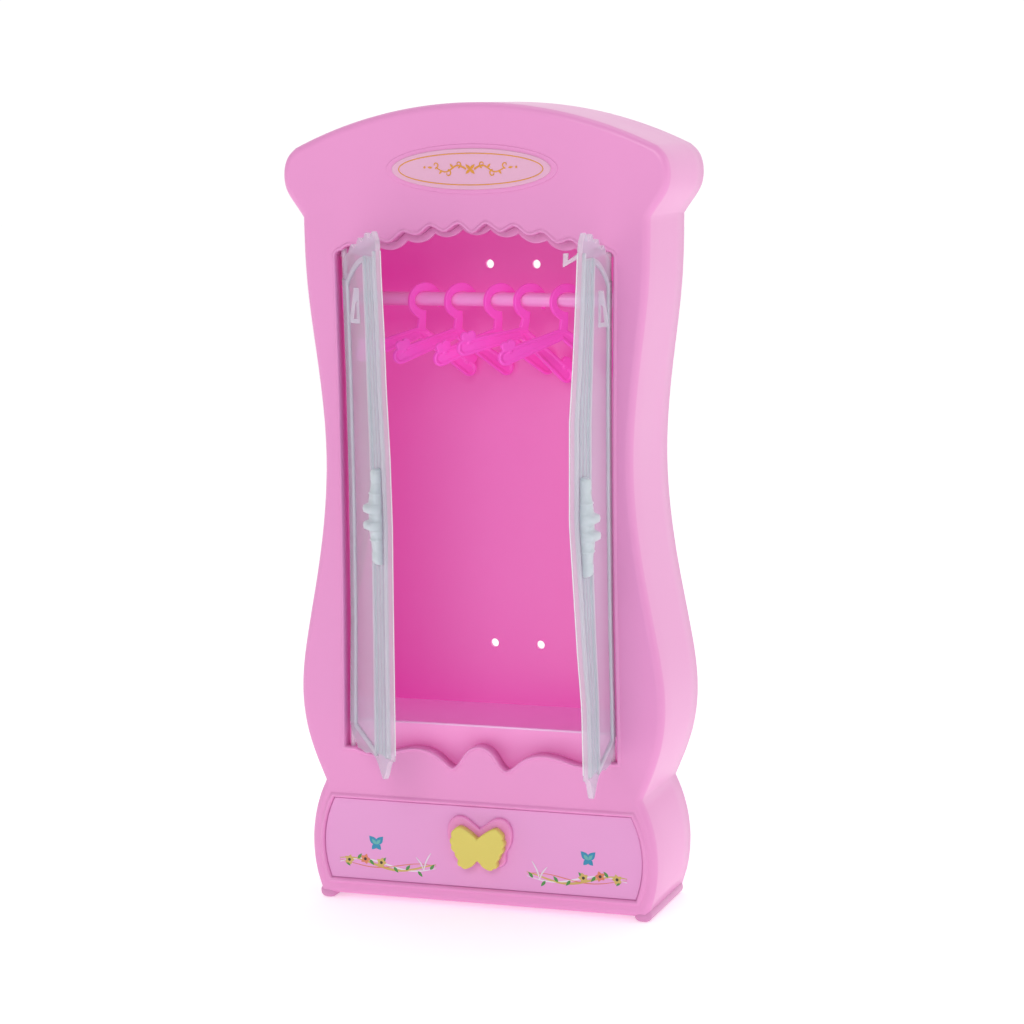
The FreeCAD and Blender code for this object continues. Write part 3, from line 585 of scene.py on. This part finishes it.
def build_feet():
    """Rounded rails that stand a little outside the base, with ball-shaped ends."""
    middle, half_width, half_height = 62.5, 3.3, 2.5
    ball, squareness = 2.4, 0.8
    steps = [ball * (1 - math.cos(math.pi / 2 * i / 7)) for i in range(8)]
    depths = steps + [20.0, 34.0] + [DEPTH - 0.4 - d for d in reversed(steps)]
    for word, side in (("left", -1), ("right", 1)):
        shape = Shape()
        rings = []
        for y in depths:
            near = min(y, DEPTH - 0.4 - y, ball)
            swell = max(0.12, math.sqrt(max(0.0, 1 - ((ball - near) / ball) ** 2)))
            ring = []
            for i in range(36):
                a = 2 * math.pi * i / 36
                across = math.copysign(abs(math.cos(a)) ** squareness, math.cos(a)) * half_width
                up = math.copysign(abs(math.sin(a)) ** squareness, math.sin(a)) * half_height
                ring.append((side * (middle + across * swell), y + 0.2, half_height + up * swell))
            rings.append(shape.ring(ring))
        shape.bands(rings)
        shape.cap(rings[0])
        shape.cap(rings[-1])
        piece(word + "_foot_rail", shape, [FOOT], "cabinet", [word + "_foot"])


# ------------------------------------------------------------------ plaque

PLAQUE_Z = 276.3


def curl(x, z, radius, start, turns):
    """A spiral line that winds inwards from its outer end."""
    count, close = 26, 0.25
    points = []
    for i in range(count + 1):
        share = i / count
        angle = start + turns * 2 * math.pi * share
        reach = radius * (1 - (1 - close) * share)
        points.append((x + reach * math.cos(angle), z + reach * math.sin(angle)))
    return points


def petal(shape, x, z, length, width, angle, y, thickness, paint=0):
    """A thin pointed leaf or petal that starts at x, z."""
    count = 10
    shares = [i / count for i in range(count + 1)]
    upper = [(length * i / count, width / 2 * math.sin(math.pi * share ** 0.8))
             for i, share in enumerate(shares)]
    lower = [(u, -v) for u, v in reversed(upper[1:-1])]
    cos, sin = math.cos(angle), math.sin(angle)
    outline = [(x + u * cos - v * sin, z + u * sin + v * cos) for u, v in upper + lower]
    thin_plate(shape, outline, y, thickness, paint)


def thin_plate(shape, outline, y, thickness, paint=0):
    """A flat printed patch with its front at y - thickness."""
    rings = [flat_ring(shape, outline, y), flat_ring(shape, outline, y - thickness)]
    shape.band(*rings, paint=paint, flat=True)
    shape.cap(rings[0], paint=paint)
    shape.cap(rings[1], paint=paint)


def build_plaque():
    seat = plate(Shape(), ellipse(0, PLAQUE_Z, 33.0, 9.1, 96), -0.35, 0.0, 0.3, 0.02)
    piece("plaque_seat", seat, [PINK], "cabinet")
    oval = plate(Shape(), ellipse(0, PLAQUE_Z, 30.6, 7.5, 96), -1.0, 0.0, 0.45, 0.02)
    piece("plaque_oval", oval, [PLAQUE], "cabinet", ["crest_plaque"])
    face = -1.0
    gold = Shape()
    tube(gold, ellipse(0, PLAQUE_Z, 27.7, 5.7, 96), 0.42, 0.12, face, closed=True)
    for side in (-1, 1):
        stem = spline([(side * 1.6, PLAQUE_Z), (side * 5, PLAQUE_Z + 1.3), (side * 9, PLAQUE_Z - 0.9),
                       (side * 13.2, PLAQUE_Z + 0.6)], 28)
        tube(gold, stem, list(np.linspace(0.75, 0.4, 29)), 0.14, face)
        for x, z, radius, start, turn in ((4.6, 2.0, 1.3, -1.6, -0.8), (8.6, -1.7, 1.35, 1.6, 0.8),
                                          (13.4, 1.7, 1.25, -1.5, -0.85)):
            path = curl(x, PLAQUE_Z + z * 0.9, radius, start, turn)
            path = [(side * u, w) for u, w in path]
            tube(gold, path, list(np.linspace(0.6, 0.35, 27)), 0.14, face)
        for x, z, tilt in ((6.6, 0.5, 0.9), (10.8, -0.3, -0.9), (14.6, 0.5, 0.15)):
            angle = tilt if side > 0 else math.pi - tilt
            petal(gold, side * x, PLAQUE_Z + z, 1.9, 0.8, angle, face, 0.12)
    for i in range(4):
        petal(gold, 0, PLAQUE_Z, 2.5, 1.1, math.pi / 4 + i * math.pi / 2, face, 0.12)
    for x in (-1, 1):
        thin_plate(gold, ellipse(x * 17.6, PLAQUE_Z + 0.7, 0.42, 0.42, 14), face, 0.12)
    piece("plaque_ornament", gold, [GOLD], "cabinet")


# ------------------------------------------------------------------ rail and hangers

RAIL_Y = 27.7
RAIL_Z = 227.3


def along_x(x, u, v):
    return (x, RAIL_Y + u, RAIL_Z + v)


def build_rail():
    shape = Shape()
    radius = 2.6
    ends = [(-61.6, 2.3), (-61.3, radius), (61.3, radius), (61.6, 2.3)]
    lathe(shape, [(x, r, r) for x, r in ends], along_x, 56)
    piece("clothes_rail", shape, [RAIL], "cabinet", ["hanging_rail"])
    for word, side in (("left", -1), ("right", 1)):
        boss = Shape()
        stations = [(59.8, 2.7), (59.8, 4.2), (59.95, 4.55), (60.3, 4.7), (63.4, 4.7), (63.4, 0.6),
                    (62.0, 0.6), (61.9, 2.66), (59.8, 2.7)]
        rings = []
        for x, r in stations[:-1]:
            angles = [2 * math.pi * i / 48 for i in range(48)]
            rings.append(boss.ring([along_x(side * x, r * math.cos(a), r * math.sin(a)) for a in angles]))
        boss.bands(rings + rings[:1])
        name = word + "_rail_socket"
        piece(word + "_rail_boss", boss, [INNER], "cabinet", [name])


HANGER_SET = [(0.0, -1.0, 0.0), (0.0, 0.0, 1.0), (1.2, -0.5, -1.0), (-1.4, 0.5, 0.0), (-1.6, -1.5, 2.0)]
HANGER_HALF = 0.9
HANGER_LEAN = (-2.0, -4.5, -4.0, 4.0, -5.5)
ARM_DROOP = 26.0


def slab(shape, outline, half):
    plate(shape, outline, -half, half, 0.25, 0.25)


def hook_band():
    """The open hook, wide over the top and tapering to its tip."""
    outer, drop = 6.9, 0.7
    angles = np.radians(np.linspace(-8, 276, 57))
    rim = [(outer * math.cos(a), outer * math.sin(a) - drop) for a in angles]
    eye = [(0.5 + 5.0 * math.cos(a), 3.7 * math.sin(a) - drop) for a in angles]
    tip_x, tip_z = (rim[0][0] + eye[0][0]) / 2, (rim[0][1] + eye[0][1]) / 2
    tip = [(tip_x + 0.35, tip_z - 0.8), (tip_x - 0.35, tip_z - 0.8)]
    return joined(rim, eye[::-1], tip[::-1])


def arm_line(reach, lift, side):
    """A point on an arm, by its distance from the root and its height above the middle line."""
    droop = math.radians(ARM_DROOP)
    x = side * (reach * math.cos(droop) + lift * math.sin(droop))
    return (x, lift * math.cos(droop) - reach * math.sin(droop) - 12.6)


def arm_outline(inset):
    """Both arms as one boomerang, narrower by inset all round."""
    span = 25.2
    root, end = 2.2 - inset, 3.0 - inset
    right = [arm_line(r, root + (end - root) * r / span, 1) for r in np.linspace(2, span, 12)]
    turns = np.linspace(0.2, math.pi - 0.2, 13)
    right += [arm_line(span + end * math.sin(a), end * math.cos(a), 1) for a in turns]
    right += [arm_line(r, -root - (end - root) * r / span, 1) for r in np.linspace(span, 3, 12)]
    top = [(0, arm_line(0, root, 1)[1] + 0.5)]
    bottom = [(0, arm_line(0, -root, 1)[1] - 0.35)]
    return joined(bottom, [(-x, z) for x, z in right[::-1]], top, right)


def build_hanger(number):
    shape = Shape()
    slab(shape, hook_band(), HANGER_HALF)
    stem = [(-1.7, -12.4), (1.7, -12.4), (1.4, -7.6), (0.9, -4.3), (-1.2, -4.6), (-1.6, -7.0)]
    slab(shape, stem[::-1], HANGER_HALF)
    outline = arm_outline(0.0)
    groove = [(0.0, -0.6), (0.3, -0.95), (0.85, -0.95), (1.15, -0.7), (1.4, -0.25)]
    for sign in (1, -1):
        rings = [flat_ring(shape, grown(outline, -inset), sign * y) for inset, y in groove]
        shape.bands(rings)
        shape.cap(rings[-1])
        if sign == 1:
            first = rings[0]
    shape.band(first, rings[0])
    for side in (-1, 1):
        for reach in (21.5, 24.1):
            x, z = arm_line(reach, 4.0, side)
            slab(shape, ellipse(x, z, 1.7, 1.7, 24), HANGER_HALF)
        neck = [arm_line(22.0, 1.0, side), arm_line(23.6, 1.0, side), arm_line(23.6, 4.2, side),
                arm_line(22.0, 4.2, side)]
        slab(shape, neck, HANGER_HALF)
    shift, turn, tilt = HANGER_SET[number]
    x = -29.0 + 14.4 * number + shift
    place = Matrix.Translation(Vector((x, RAIL_Y, RAIL_Z)) * MM)
    place = place @ Matrix.Rotation(math.radians(48.0 + turn), 4, "Z")
    place = place @ Matrix.Rotation(math.radians(12.0 + tilt + HANGER_LEAN[number]), 4, "Y")
    name = "hanger_%d" % (number + 1)
    piece(name + "_moulding", shape, [MAGENTA], name, [name], place, fuse)


def fuse(made):
    """Joins the overlapping stretches of a moulding and eases the creases between them."""
    remesh = made.modifiers.new("fuse", "REMESH")
    remesh.mode = "VOXEL"
    remesh.voxel_size = 0.2 * MM
    remesh.adaptivity = 0.0
    remesh.use_smooth_shade = True
    ease = made.modifiers.new("ease", "SMOOTH")
    ease.factor = 0.5
    ease.iterations = 4


# ------------------------------------------------------------------ doors

PIVOT = {side: (side * 51.3, 2.4) for side in (-1, 1)}
OPEN_ANGLE = {-1: -51.5, 1: 96.0}
LEAF_FRONT, LEAF_BACK = 1.45, 3.3
HINGE_EDGE, FREE_EDGE = 52.3, 0.5
BOW = {
    1: [(60, 0.0), (90, 0.4), (110, 1.7), (130, 2.7), (155, 3.95), (170, 3.8), (190, 3.6), (210, 2.3),
        (225, 1.5), (240, 0.8), (254, 0.2)],
    -1: [(60, 0.0), (120, 0.2), (150, 0.4), (175, 0.0), (200, -0.9), (220, -1.3), (240, -2.0), (254, -2.2)],
}
HINGE_BOW = [(60, 0.0), (80, 0.5), (110, 1.3), (155, 1.6), (200, 1.3), (230, 0.7), (242, 0.3), (250, 0.0)]
HINGE_BOW_SHARE = {-1: 1.0, 1: 0.55}


def door_low(x):
    """The leaf's own bottom line where the opening dips below it."""
    return OPENING_BOTTOM if x > 27 else 0.0


def door_outline():
    """The right door leaf, shut, counterclockwise from the tip's free edge."""
    clear = 1.0
    wave = [(x, max(z, door_low(x)) + clear) for x, z in bottom_wave() if FREE_EDGE + 0.3 < x < 33]
    foot = (FREE_EDGE, wave[0][1])
    low_flat = (42.5, OPENING_BOTTOM + clear)
    low = (HINGE_EDGE, 66.5)
    high = (HINGE_EDGE, 237.4)
    top = [(x, scallop(x) - clear) for x in np.linspace(44.3, 2.7, 64)]
    shoulder = arc(high, (50.3, (high[1] + top[0][1]) / 2), top[0], 10)
    corner = (FREE_EDGE, 249.4)
    tip = arc(top[-1], (1.1, (top[-1][1] + corner[1]) / 2 + 0.7), corner, 5)
    free = straight(corner, foot, 60)
    hinge = straight(low, high, 60)
    return joined([foot], wave, [low_flat], hinge, shoulder, top, tip, free)


def door_frame_outline():
    hinge, free = 44.6, 16.4
    low = straight((free, 62.8), (hinge, 68.5), 10)
    up = straight((hinge, 68.5), (hinge, 235.5), 50)
    top = arc((hinge, 235.5), ((hinge + free) / 2, 242.85), (free, 246.2), 16)
    down = straight((free, 246.2), (free, 62.8), 50)
    return joined(low, up, top, down)


def strip(x0, x1, low, high):
    """A tall narrow outline with enough points to follow the door's bow."""
    return joined(straight((x0, low), (x1, low), 1), straight((x1, low), (x1, high), 50),
                  straight((x1, high), (x0, high), 1), straight((x0, high), (x0, low), 50))


def swing(shape, side):
    """Bows a shut right door's shape, mirrors it if it is the left one, and opens it about its pivot."""
    heights, amounts = zip(*BOW[side])
    angle = math.radians(OPEN_ANGLE[side])
    px, py = PIVOT[side]

    def change(x, y, z):
        reach = max(0.0, HINGE_EDGE - x) / 50.0
        y += float(np.interp(z, heights, amounts)) * reach ** 1.5
        y += float(np.interp(z, *zip(*HINGE_BOW))) * HINGE_BOW_SHARE[side] * max(0.0, 1 - reach) ** 1.5
        x = side * x
        dx, dy = x - px, y - py
        cos, sin = math.cos(angle), math.sin(angle)
        return (px + dx * cos - dy * sin, py + dx * sin + dy * cos, z)

    return shape.move(change)


def gridded(shape, outline, front, back, paint, edge_paint):
    """A leaf plate whose large faces are cut into short strips, so that it can bow."""
    rings = []
    for inset, setback in bevel_steps(0.3, 3):
        rings.append(flat_ring(shape, grown(outline, -inset), front + setback))
    for inset, setback in reversed(bevel_steps(0.3, 3)):
        rings.append(flat_ring(shape, grown(outline, -inset), back - setback))
    shape.bands(rings, paint=edge_paint)
    for ring in (rings[0], rings[-1]):
        y = shape.points[ring[0]][1]
        work = bmesh.new()
        verts = [work.verts.new(shape.points[i]) for i in ring]
        for corners in geometry.tessellate_polygon([[v.co for v in verts]]):
            work.faces.new([verts[i] for i in corners])
        for z in np.arange(64.0, 250.0, 6.0):
            parts = work.verts[:] + work.edges[:] + work.faces[:]
            bmesh.ops.bisect_plane(work, geom=parts, plane_co=(0, y, z), plane_no=(0, 0, 1))
        for x in (10.0, 20.0, 30.0, 40.0):
            parts = work.verts[:] + work.edges[:] + work.faces[:]
            bmesh.ops.bisect_plane(work, geom=parts, plane_co=(x, y, 0), plane_no=(1, 0, 0))
        work.verts.index_update()
        first = len(shape.points)
        shape.points += [tuple(v.co) for v in work.verts]
        for f in work.faces:
            shape.face([first + v.index for v in f.verts], False, paint)
        work.free()


def build_door(word, side):
    body = word + "_door"
    pin_x, pin_y = PIVOT[1]
    leaf = Shape()
    gridded(leaf, door_outline(), LEAF_FRONT, LEAF_BACK, 0, 1)
    for low, high in ((57.6, 68.0), (235.6, 248.0)):
        stations = [(low, 0.7, 0.7), (low + 0.3, 1.0, 1.0), (high - 0.3, 1.0, 1.0), (high, 0.7, 0.7)]
        lathe(leaf, stations, lambda z, u, v: (pin_x + u, pin_y + v, z), 20, 1)
    piece(word + "_door_panel", swing(leaf, side), [FROSTED, EDGE], body, [word + "_door_leaf"])
    ridges = Shape()
    frame_bar(ridges, door_frame_outline(), 2.0, LEAF_FRONT - 0.95, LEAF_FRONT + 0.02)
    plate(ridges, strip(FREE_EDGE + 0.05, 3.1, 65.0, 248.4), LEAF_FRONT - 0.95, LEAF_FRONT + 0.02, 0.35, 0.02)
    plate(ridges, strip(5.4, 16.3, 64.2, 246.4), LEAF_FRONT - 0.5, LEAF_FRONT + 0.02, 0.2, 0.02, 1)
    plate(ridges, strip(46.4, 51.7, 69.0, 236.0), LEAF_FRONT - 0.4, LEAF_FRONT + 0.02, 0.2, 0.02, 1)
    for near, far in ((6.3, 7.3), (10.0, 11.4), (14.0, 15.0)):
        plate(ridges, strip(near, far, 65.0, 245.6), LEAF_FRONT - 0.75, LEAF_FRONT - 0.4, 0.2, 0.02, 1)
    # Painted highlights: thin near-white strips on the free edge's inner corner and along the hinge edge
    # stand for the edge glints.
    glint_strip = strip(FREE_EDGE - 0.05, FREE_EDGE + 0.3, 66.0, 248.6)
    plate(ridges, glint_strip, LEAF_BACK - 0.3, LEAF_BACK + 0.05, 0.08, 0.08, 2)
    plate(ridges, strip(51.98, 52.34, 67.5, 236.5), LEAF_FRONT - 0.05, LEAF_FRONT + 0.3, 0.08, 0.08, 2)
    materials = [RIDGE, BAND, PAINTED_GLINT]
    piece(word + "_door_ridges", swing(ridges, side), materials, body)
    handle, loop = swing(handle_shape(), side), swing(loop_shape(), side)
    piece(word + "_door_pull", handle, [SOLID], body, [word + "_door_handle"])
    piece(word + "_door_loop", loop, [EDGE], body, [word + "_door_hook"])


def handle_shape():
    """Turned spindle with bulbs at its ends, ring ribs, and two collars beside a narrow waist."""
    shape = Shape()
    middle = 152.8
    across = 7.8
    squareness = 0.6
    half_profile = [
        (0.0, 3.7, 2.1), (1.1, 3.7, 2.1), (1.5, 4.0, 2.7), (1.9, 4.2, 3.1), (3.0, 4.3, 3.2), (4.2, 4.2, 3.1),
        (4.7, 3.8, 2.5), (5.1, 3.6, 2.1), (8.0, 3.2, 1.9), (8.3, 3.4, 2.05), (8.7, 3.4, 2.05),
        (9.0, 3.1, 1.85), (12.2, 2.6, 1.55), (12.9, 2.7, 1.55), (13.4, 2.9, 1.65), (15.8, 2.9, 1.65),
        (16.7, 2.7, 1.5), (17.2, 2.2, 1.2), (17.5, 1.4, 0.7),
    ]
    stations = [(-z, a, b) for z, a, b in half_profile[:0:-1]] + half_profile
    rings = []
    for z, a, b in stations:
        ring = []
        for i in range(32):
            t = 2 * math.pi * i / 32
            sideways = math.copysign(abs(math.cos(t)) ** squareness, math.cos(t))
            outwards = math.copysign(abs(math.sin(t)) ** squareness, math.sin(t))
            ring.append((across + a * sideways, 1.4 - b + b * outwards, middle + z))
        rings.append(shape.ring(ring))
    shape.bands(rings)
    shape.cap(rings[0])
    shape.cap(rings[-1])
    return shape


def loop_shape():
    """The small loop on the door's outer face, with a slot that narrows upwards."""
    shape = Shape()
    outer = [(1.4, 221.0), (-1.6, 221.3), (-2.0, 222.0), (-1.9, 223.2), (-0.2, 234.0), (1.4, 234.0)]
    inner = [(0.6, 222.7), (-0.9, 222.8), (-0.1, 228.5), (0.6, 229.5)]
    outer = [p for a, b in zip(outer, outer[1:] + outer[:1]) for p in straight(a, b, 4)[:-1]]
    inner = [p for a, b in zip(inner, inner[1:] + inner[:1]) for p in straight(a, b, 5)[:-1]]
    loops = []
    for x in (28.2, 29.8):
        out = shape.ring([(x, y, z) for y, z in outer])
        hole = shape.ring([(x, y, z) for y, z in inner])
        loops.append((out, hole))
        shape.cap(out, hole)
    shape.band(loops[0][0], loops[1][0], flat=True)
    shape.band(loops[0][1], loops[1][1], flat=True)
    return shape


def build_catch():
    """V-shaped catch on the right door's inner face."""
    shape = Shape()
    legs = [(3.3, 246.6), (8.6, 243.6), (8.6, 248.4), (7.0, 248.4), (7.0, 245.9), (3.3, 248.5)]
    rings = [shape.ring([(x, y, z) for y, z in legs]) for x in (2.6, 4.0)]
    shape.band(*rings, flat=True)
    shape.cap(rings[0])
    shape.cap(rings[1])
    piece("right_catch", swing(shape, 1), [EDGE], "right_door", ["right_door_catch"])


# ------------------------------------------------------------------ drawer


def build_drawer():
    front = plate(Shape(), drawer_outline(0.4), 0.3, 2.0, 0.3, 0.2)
    piece("drawer_panel", front, [DRAWER], "drawer", ["drawer_front"])
    pad_points = [(0, 31.6), (2.6, 33.6), (6.2, 35.9), (9.6, 35.8), (12.2, 33.2), (12.8, 29.4), (11.9, 25.6),
                  (10.3, 22.4), (10.2, 19.6), (8.2, 17.6), (4.6, 17.1), (1.6, 18.4), (0, 19.3)]
    half = spline(pad_points, 72)
    pad = plate(Shape(), joined(half, mirrored(half)), -1.4, 0.3, 0.8, 0.02)
    piece("knob_seat", pad, [PAD], "drawer", ["knob_pad"])
    knob = plate(Shape(), wing_outline(), -4.6, -1.4, 0.7, 0.2)
    piece("butterfly_pull", knob, [YELLOW], "drawer", ["butterfly_knob"])
    for word, side in (("left", -1), ("right", 1)):
        name = word + "_sticker"
        printed = print_shape(side)
        piece(word + "_print", printed, INKS, "drawer", [name])


def wing_outline():
    """The knob's butterfly: smooth upper wings, ruffled outer sides, notched top and bottom."""
    upper = spline([(0, 28.5), (2.0, 30.2), (4.6, 31.9), (7.3, 32.8), (9.2, 31.5)], 24)
    outer = spline([(9.2, 31.5), (10.2, 28.2), (10.1, 25.2), (8.9, 22.6), (7.7, 20.4), (7.3, 18.2),
                    (5.6, 17.2), (3.4, 17.1)], 110)
    lower = spline([(3.4, 17.1), (2.0, 17.9), (0.5, 19.6), (0, 19.9)], 14)
    ruffled = []
    for i, (x, z) in enumerate(outer):
        share = i / (len(outer) - 1)
        push = 0.5 * abs(math.sin(math.pi * 6 * share)) * (1 if 0 < share < 1 else 0)
        toward = math.atan2(z - 25.5, x - 1.0)
        ruffled.append((x + push * math.cos(toward), z + push * math.sin(toward)))
    half = joined_open(upper, ruffled, lower)
    return joined(half, mirrored(half))


def print_shape(side):
    """A printed spray: waved ribbons, leaves, flowers, twigs and a butterfly, drawn left and mirrored."""
    shape = Shape()
    surface, film, end_width = 0.31, 0.03, 0.35
    layer = iter(range(1, 200))

    def lifted():
        """Each shape lies a hair in front of the one printed before it."""
        return surface - 0.0008 * next(layer)

    def line(points, width, paint, count=24):
        path = spline(points, count)
        widths = [width * (1 - (1 - end_width) * abs(2 * i / count - 1) ** 2) for i in range(count + 1)]
        tube(shape, path, widths, film, lifted(), 6, paint)

    def dot(x, z, radius, paint):
        thin_plate(shape, ellipse(x, z, radius, radius, 18), lifted(), film, paint)

    def leaf(x, z, length, width, degrees, paint):
        petal(shape, x, z, length, width, math.radians(degrees), lifted(), film, paint)

    def flower(x, z, petals, paint):
        for i in range(petals):
            leaf(x, z, 2.1, 1.5, 360 * i / petals, paint)
        dot(x, z, 0.6, DARK_INK)

    start, end, base = -57.0, -18.0, 14.8
    length = end - start

    def wave(x, height=1.7, phase=0.0):
        return base + height * math.sin(2 * math.pi * (x - start) / length + phase)

    ribbons = ((1.7, 0.0, 0.8, WHITE_INK), (1.9, 0.9, 1.1, YELLOW_INK), (1.3, 2.4, 0.45, ORANGE_INK))
    for height, phase, width, paint in ribbons:
        line([(x, wave(x, height, phase)) for x in np.linspace(start, end, 9)], width, paint, 40)
    for i in range(8):
        x = start + length * (i + 0.5) / 8
        leaf(x, wave(x), 2.8, 1.2, 50 if i % 2 else -50, GREEN_INK)
    for i, paint in enumerate((YELLOW_INK, ORANGE_INK, YELLOW_INK)):
        x = start + length * (i + 0.6) / 6
        flower(x, wave(x), 5, paint)
    for bend, rise in ((-1, 5.0), (1, 7.0)):
        x = end - 5.0
        z = wave(x)
        line([(x, z), (x + bend, z + rise / 2), (x + 3 * bend, z + rise)], 0.6, WHITE_INK)
    middle, height = -42.0, 22.5
    for flip in (-1, 1):
        leaf(middle, height, 4.2, 2.6, 90 - flip * 42, BLUE_INK)
        leaf(middle, height, 2.8, 1.9, 270 + flip * 42, BLUE_INK)
        leaf(middle, height, 2.6, 1.3, 90 - flip * 42, TEAL_INK)
    line([(middle, height - 2.0), (middle, height), (middle, height + 1.8)], 0.5, TAN_INK)
    if side > 0:
        shape.move(lambda x, d, z: (-x, d, z))
    return shape


# ------------------------------------------------------------------ carried-over CAD pieces


def finish_node(node, material):
    """A CAD piece gets its material and slightly rounded edges."""
    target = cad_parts[node]
    target.data.materials.clear()
    target.data.materials.append(material)
    weld = target.modifiers.new("weld", "WELD")
    weld.merge_threshold = 0.01 * MM
    bevel = target.modifiers.new("bevel", "BEVEL")
    bevel.width = 0.25 * MM
    bevel.segments = 2
    bevel.limit_method = "ANGLE"
    bevel.angle_limit = math.radians(40)


# ------------------------------------------------------------------ stage, light and camera


def area_light(name, place, target, size, power):
    data = bpy.data.lights.new(name, "AREA")
    data.shape = "DISK"
    data.size = size
    data.energy = power
    lamp = bpy.data.objects.new(name, data)
    bpy.context.scene.collection.objects.link(lamp)
    lamp.location = place
    toward = Vector(target) - Vector(place)
    lamp.rotation_mode = "QUATERNION"
    lamp.rotation_quaternion = toward.to_track_quat("-Z", "Y")


def build_stage():
    material, tree, shader = new_material("studio_paper")
    grain = noise(tree, 900.0)
    bump = tree.nodes.new("ShaderNodeBump")
    bump.inputs["Strength"].default_value = 0.1
    bump.inputs["Distance"].default_value = 0.0001
    tree.links.new(grain.outputs["Fac"], bump.inputs["Height"])
    tree.links.new(bump.outputs["Normal"], shader.inputs["Normal"])
    shader.inputs["Base Color"].default_value = (0.92, 0.92, 0.92, 1.0)
    shader.inputs["Roughness"].default_value = 0.9
    shader.inputs["Specular IOR Level"].default_value = 0.1
    shader.inputs["Emission Color"].default_value = (1.0, 1.0, 1.0, 1.0)
    shader.inputs["Emission Strength"].default_value = 0.4
    mesh = bpy.data.meshes.new("floor")
    half = 6.0
    corners = [(-half, -half, 0), (half, -half, 0), (half, half, 0), (-half, half, 0)]
    mesh.from_pydata(corners, [], [(0, 1, 2, 3)])
    mesh.materials.append(material)
    floor = bpy.data.objects.new("floor", mesh)
    bpy.context.scene.collection.objects.link(floor)


def build_light():
    world = bpy.data.worlds.new("studio")
    world.use_nodes = True
    tree = world.node_tree
    background = tree.nodes["Background"]
    coordinates = tree.nodes.new("ShaderNodeTexCoord")
    split = tree.nodes.new("ShaderNodeSeparateXYZ")
    tree.links.new(coordinates.outputs["Generated"], split.inputs["Vector"])
    remap = tree.nodes.new("ShaderNodeMapRange")
    remap.interpolation_type = "SMOOTHSTEP"
    remap.inputs["From Min"].default_value = -0.3
    remap.inputs["From Max"].default_value = 0.8
    remap.inputs["To Min"].default_value = 0.45
    remap.inputs["To Max"].default_value = 1.04
    tree.links.new(split.outputs["Y"], remap.inputs["Value"])
    tree.links.new(remap.outputs["Result"], background.inputs["Strength"])
    background.inputs["Color"].default_value = (1.0, 1.0, 1.0, 1.0)
    bpy.context.scene.world = world
    area_light("key", (0.12, -1.35, 0.85), (0, 0, 0.15), 0.7, 5.2)
    area_light("side", (1.5, 0.2, 0.6), (0, 0, 0.15), 1.0, 2.2)
    area_light("top", (0.0, 0.1, 1.5), (0, 0, 0.3), 0.8, 1.8)


CAMERA_PLACE = (358.1, -1002.2, 298.5)
CAMERA_LOOK = (-0.3216, 0.9368, -0.1375)
CAMERA_LENS = 102.66
CAMERA_ROLL = 0.71


def build_camera():
    data = bpy.data.cameras.new("view")
    data.sensor_width = 36.0
    data.lens = CAMERA_LENS
    data.clip_start = 0.01
    data.clip_end = 50.0
    camera = bpy.data.objects.new("view", data)
    bpy.context.scene.collection.objects.link(camera)
    forward = Vector(CAMERA_LOOK).normalized()
    level = forward.cross(Vector((0, 0, 1))).normalized()
    roll = Matrix.Rotation(math.radians(CAMERA_ROLL), 3, forward)
    right = roll @ level
    up = right.cross(forward)
    turn = Matrix((right, up, -forward)).transposed()
    camera.matrix_world = Matrix.Translation(Vector(CAMERA_PLACE) * MM) @ turn.to_4x4()
    bpy.context.scene.camera = camera


def main():
    build_cabinet()
    build_lip()
    build_back()
    build_floor()
    build_feet()
    build_plaque()
    build_rail()
    for number in range(len(HANGER_SET)):
        build_hanger(number)
    for word, side in (("left", -1), ("right", 1)):
        build_door(word, side)
        finish_node(word + "_drawer_runner", INNER)
    build_catch()
    build_drawer()
    finish_node("drawer_tray", DRAWER)
    finish_node("knob_screw", STEEL)
    build_stage()
    build_light()
    build_camera()
    bpy.context.scene.view_settings.view_transform = "Standard"


main()
bpy.context.view_layer.update()
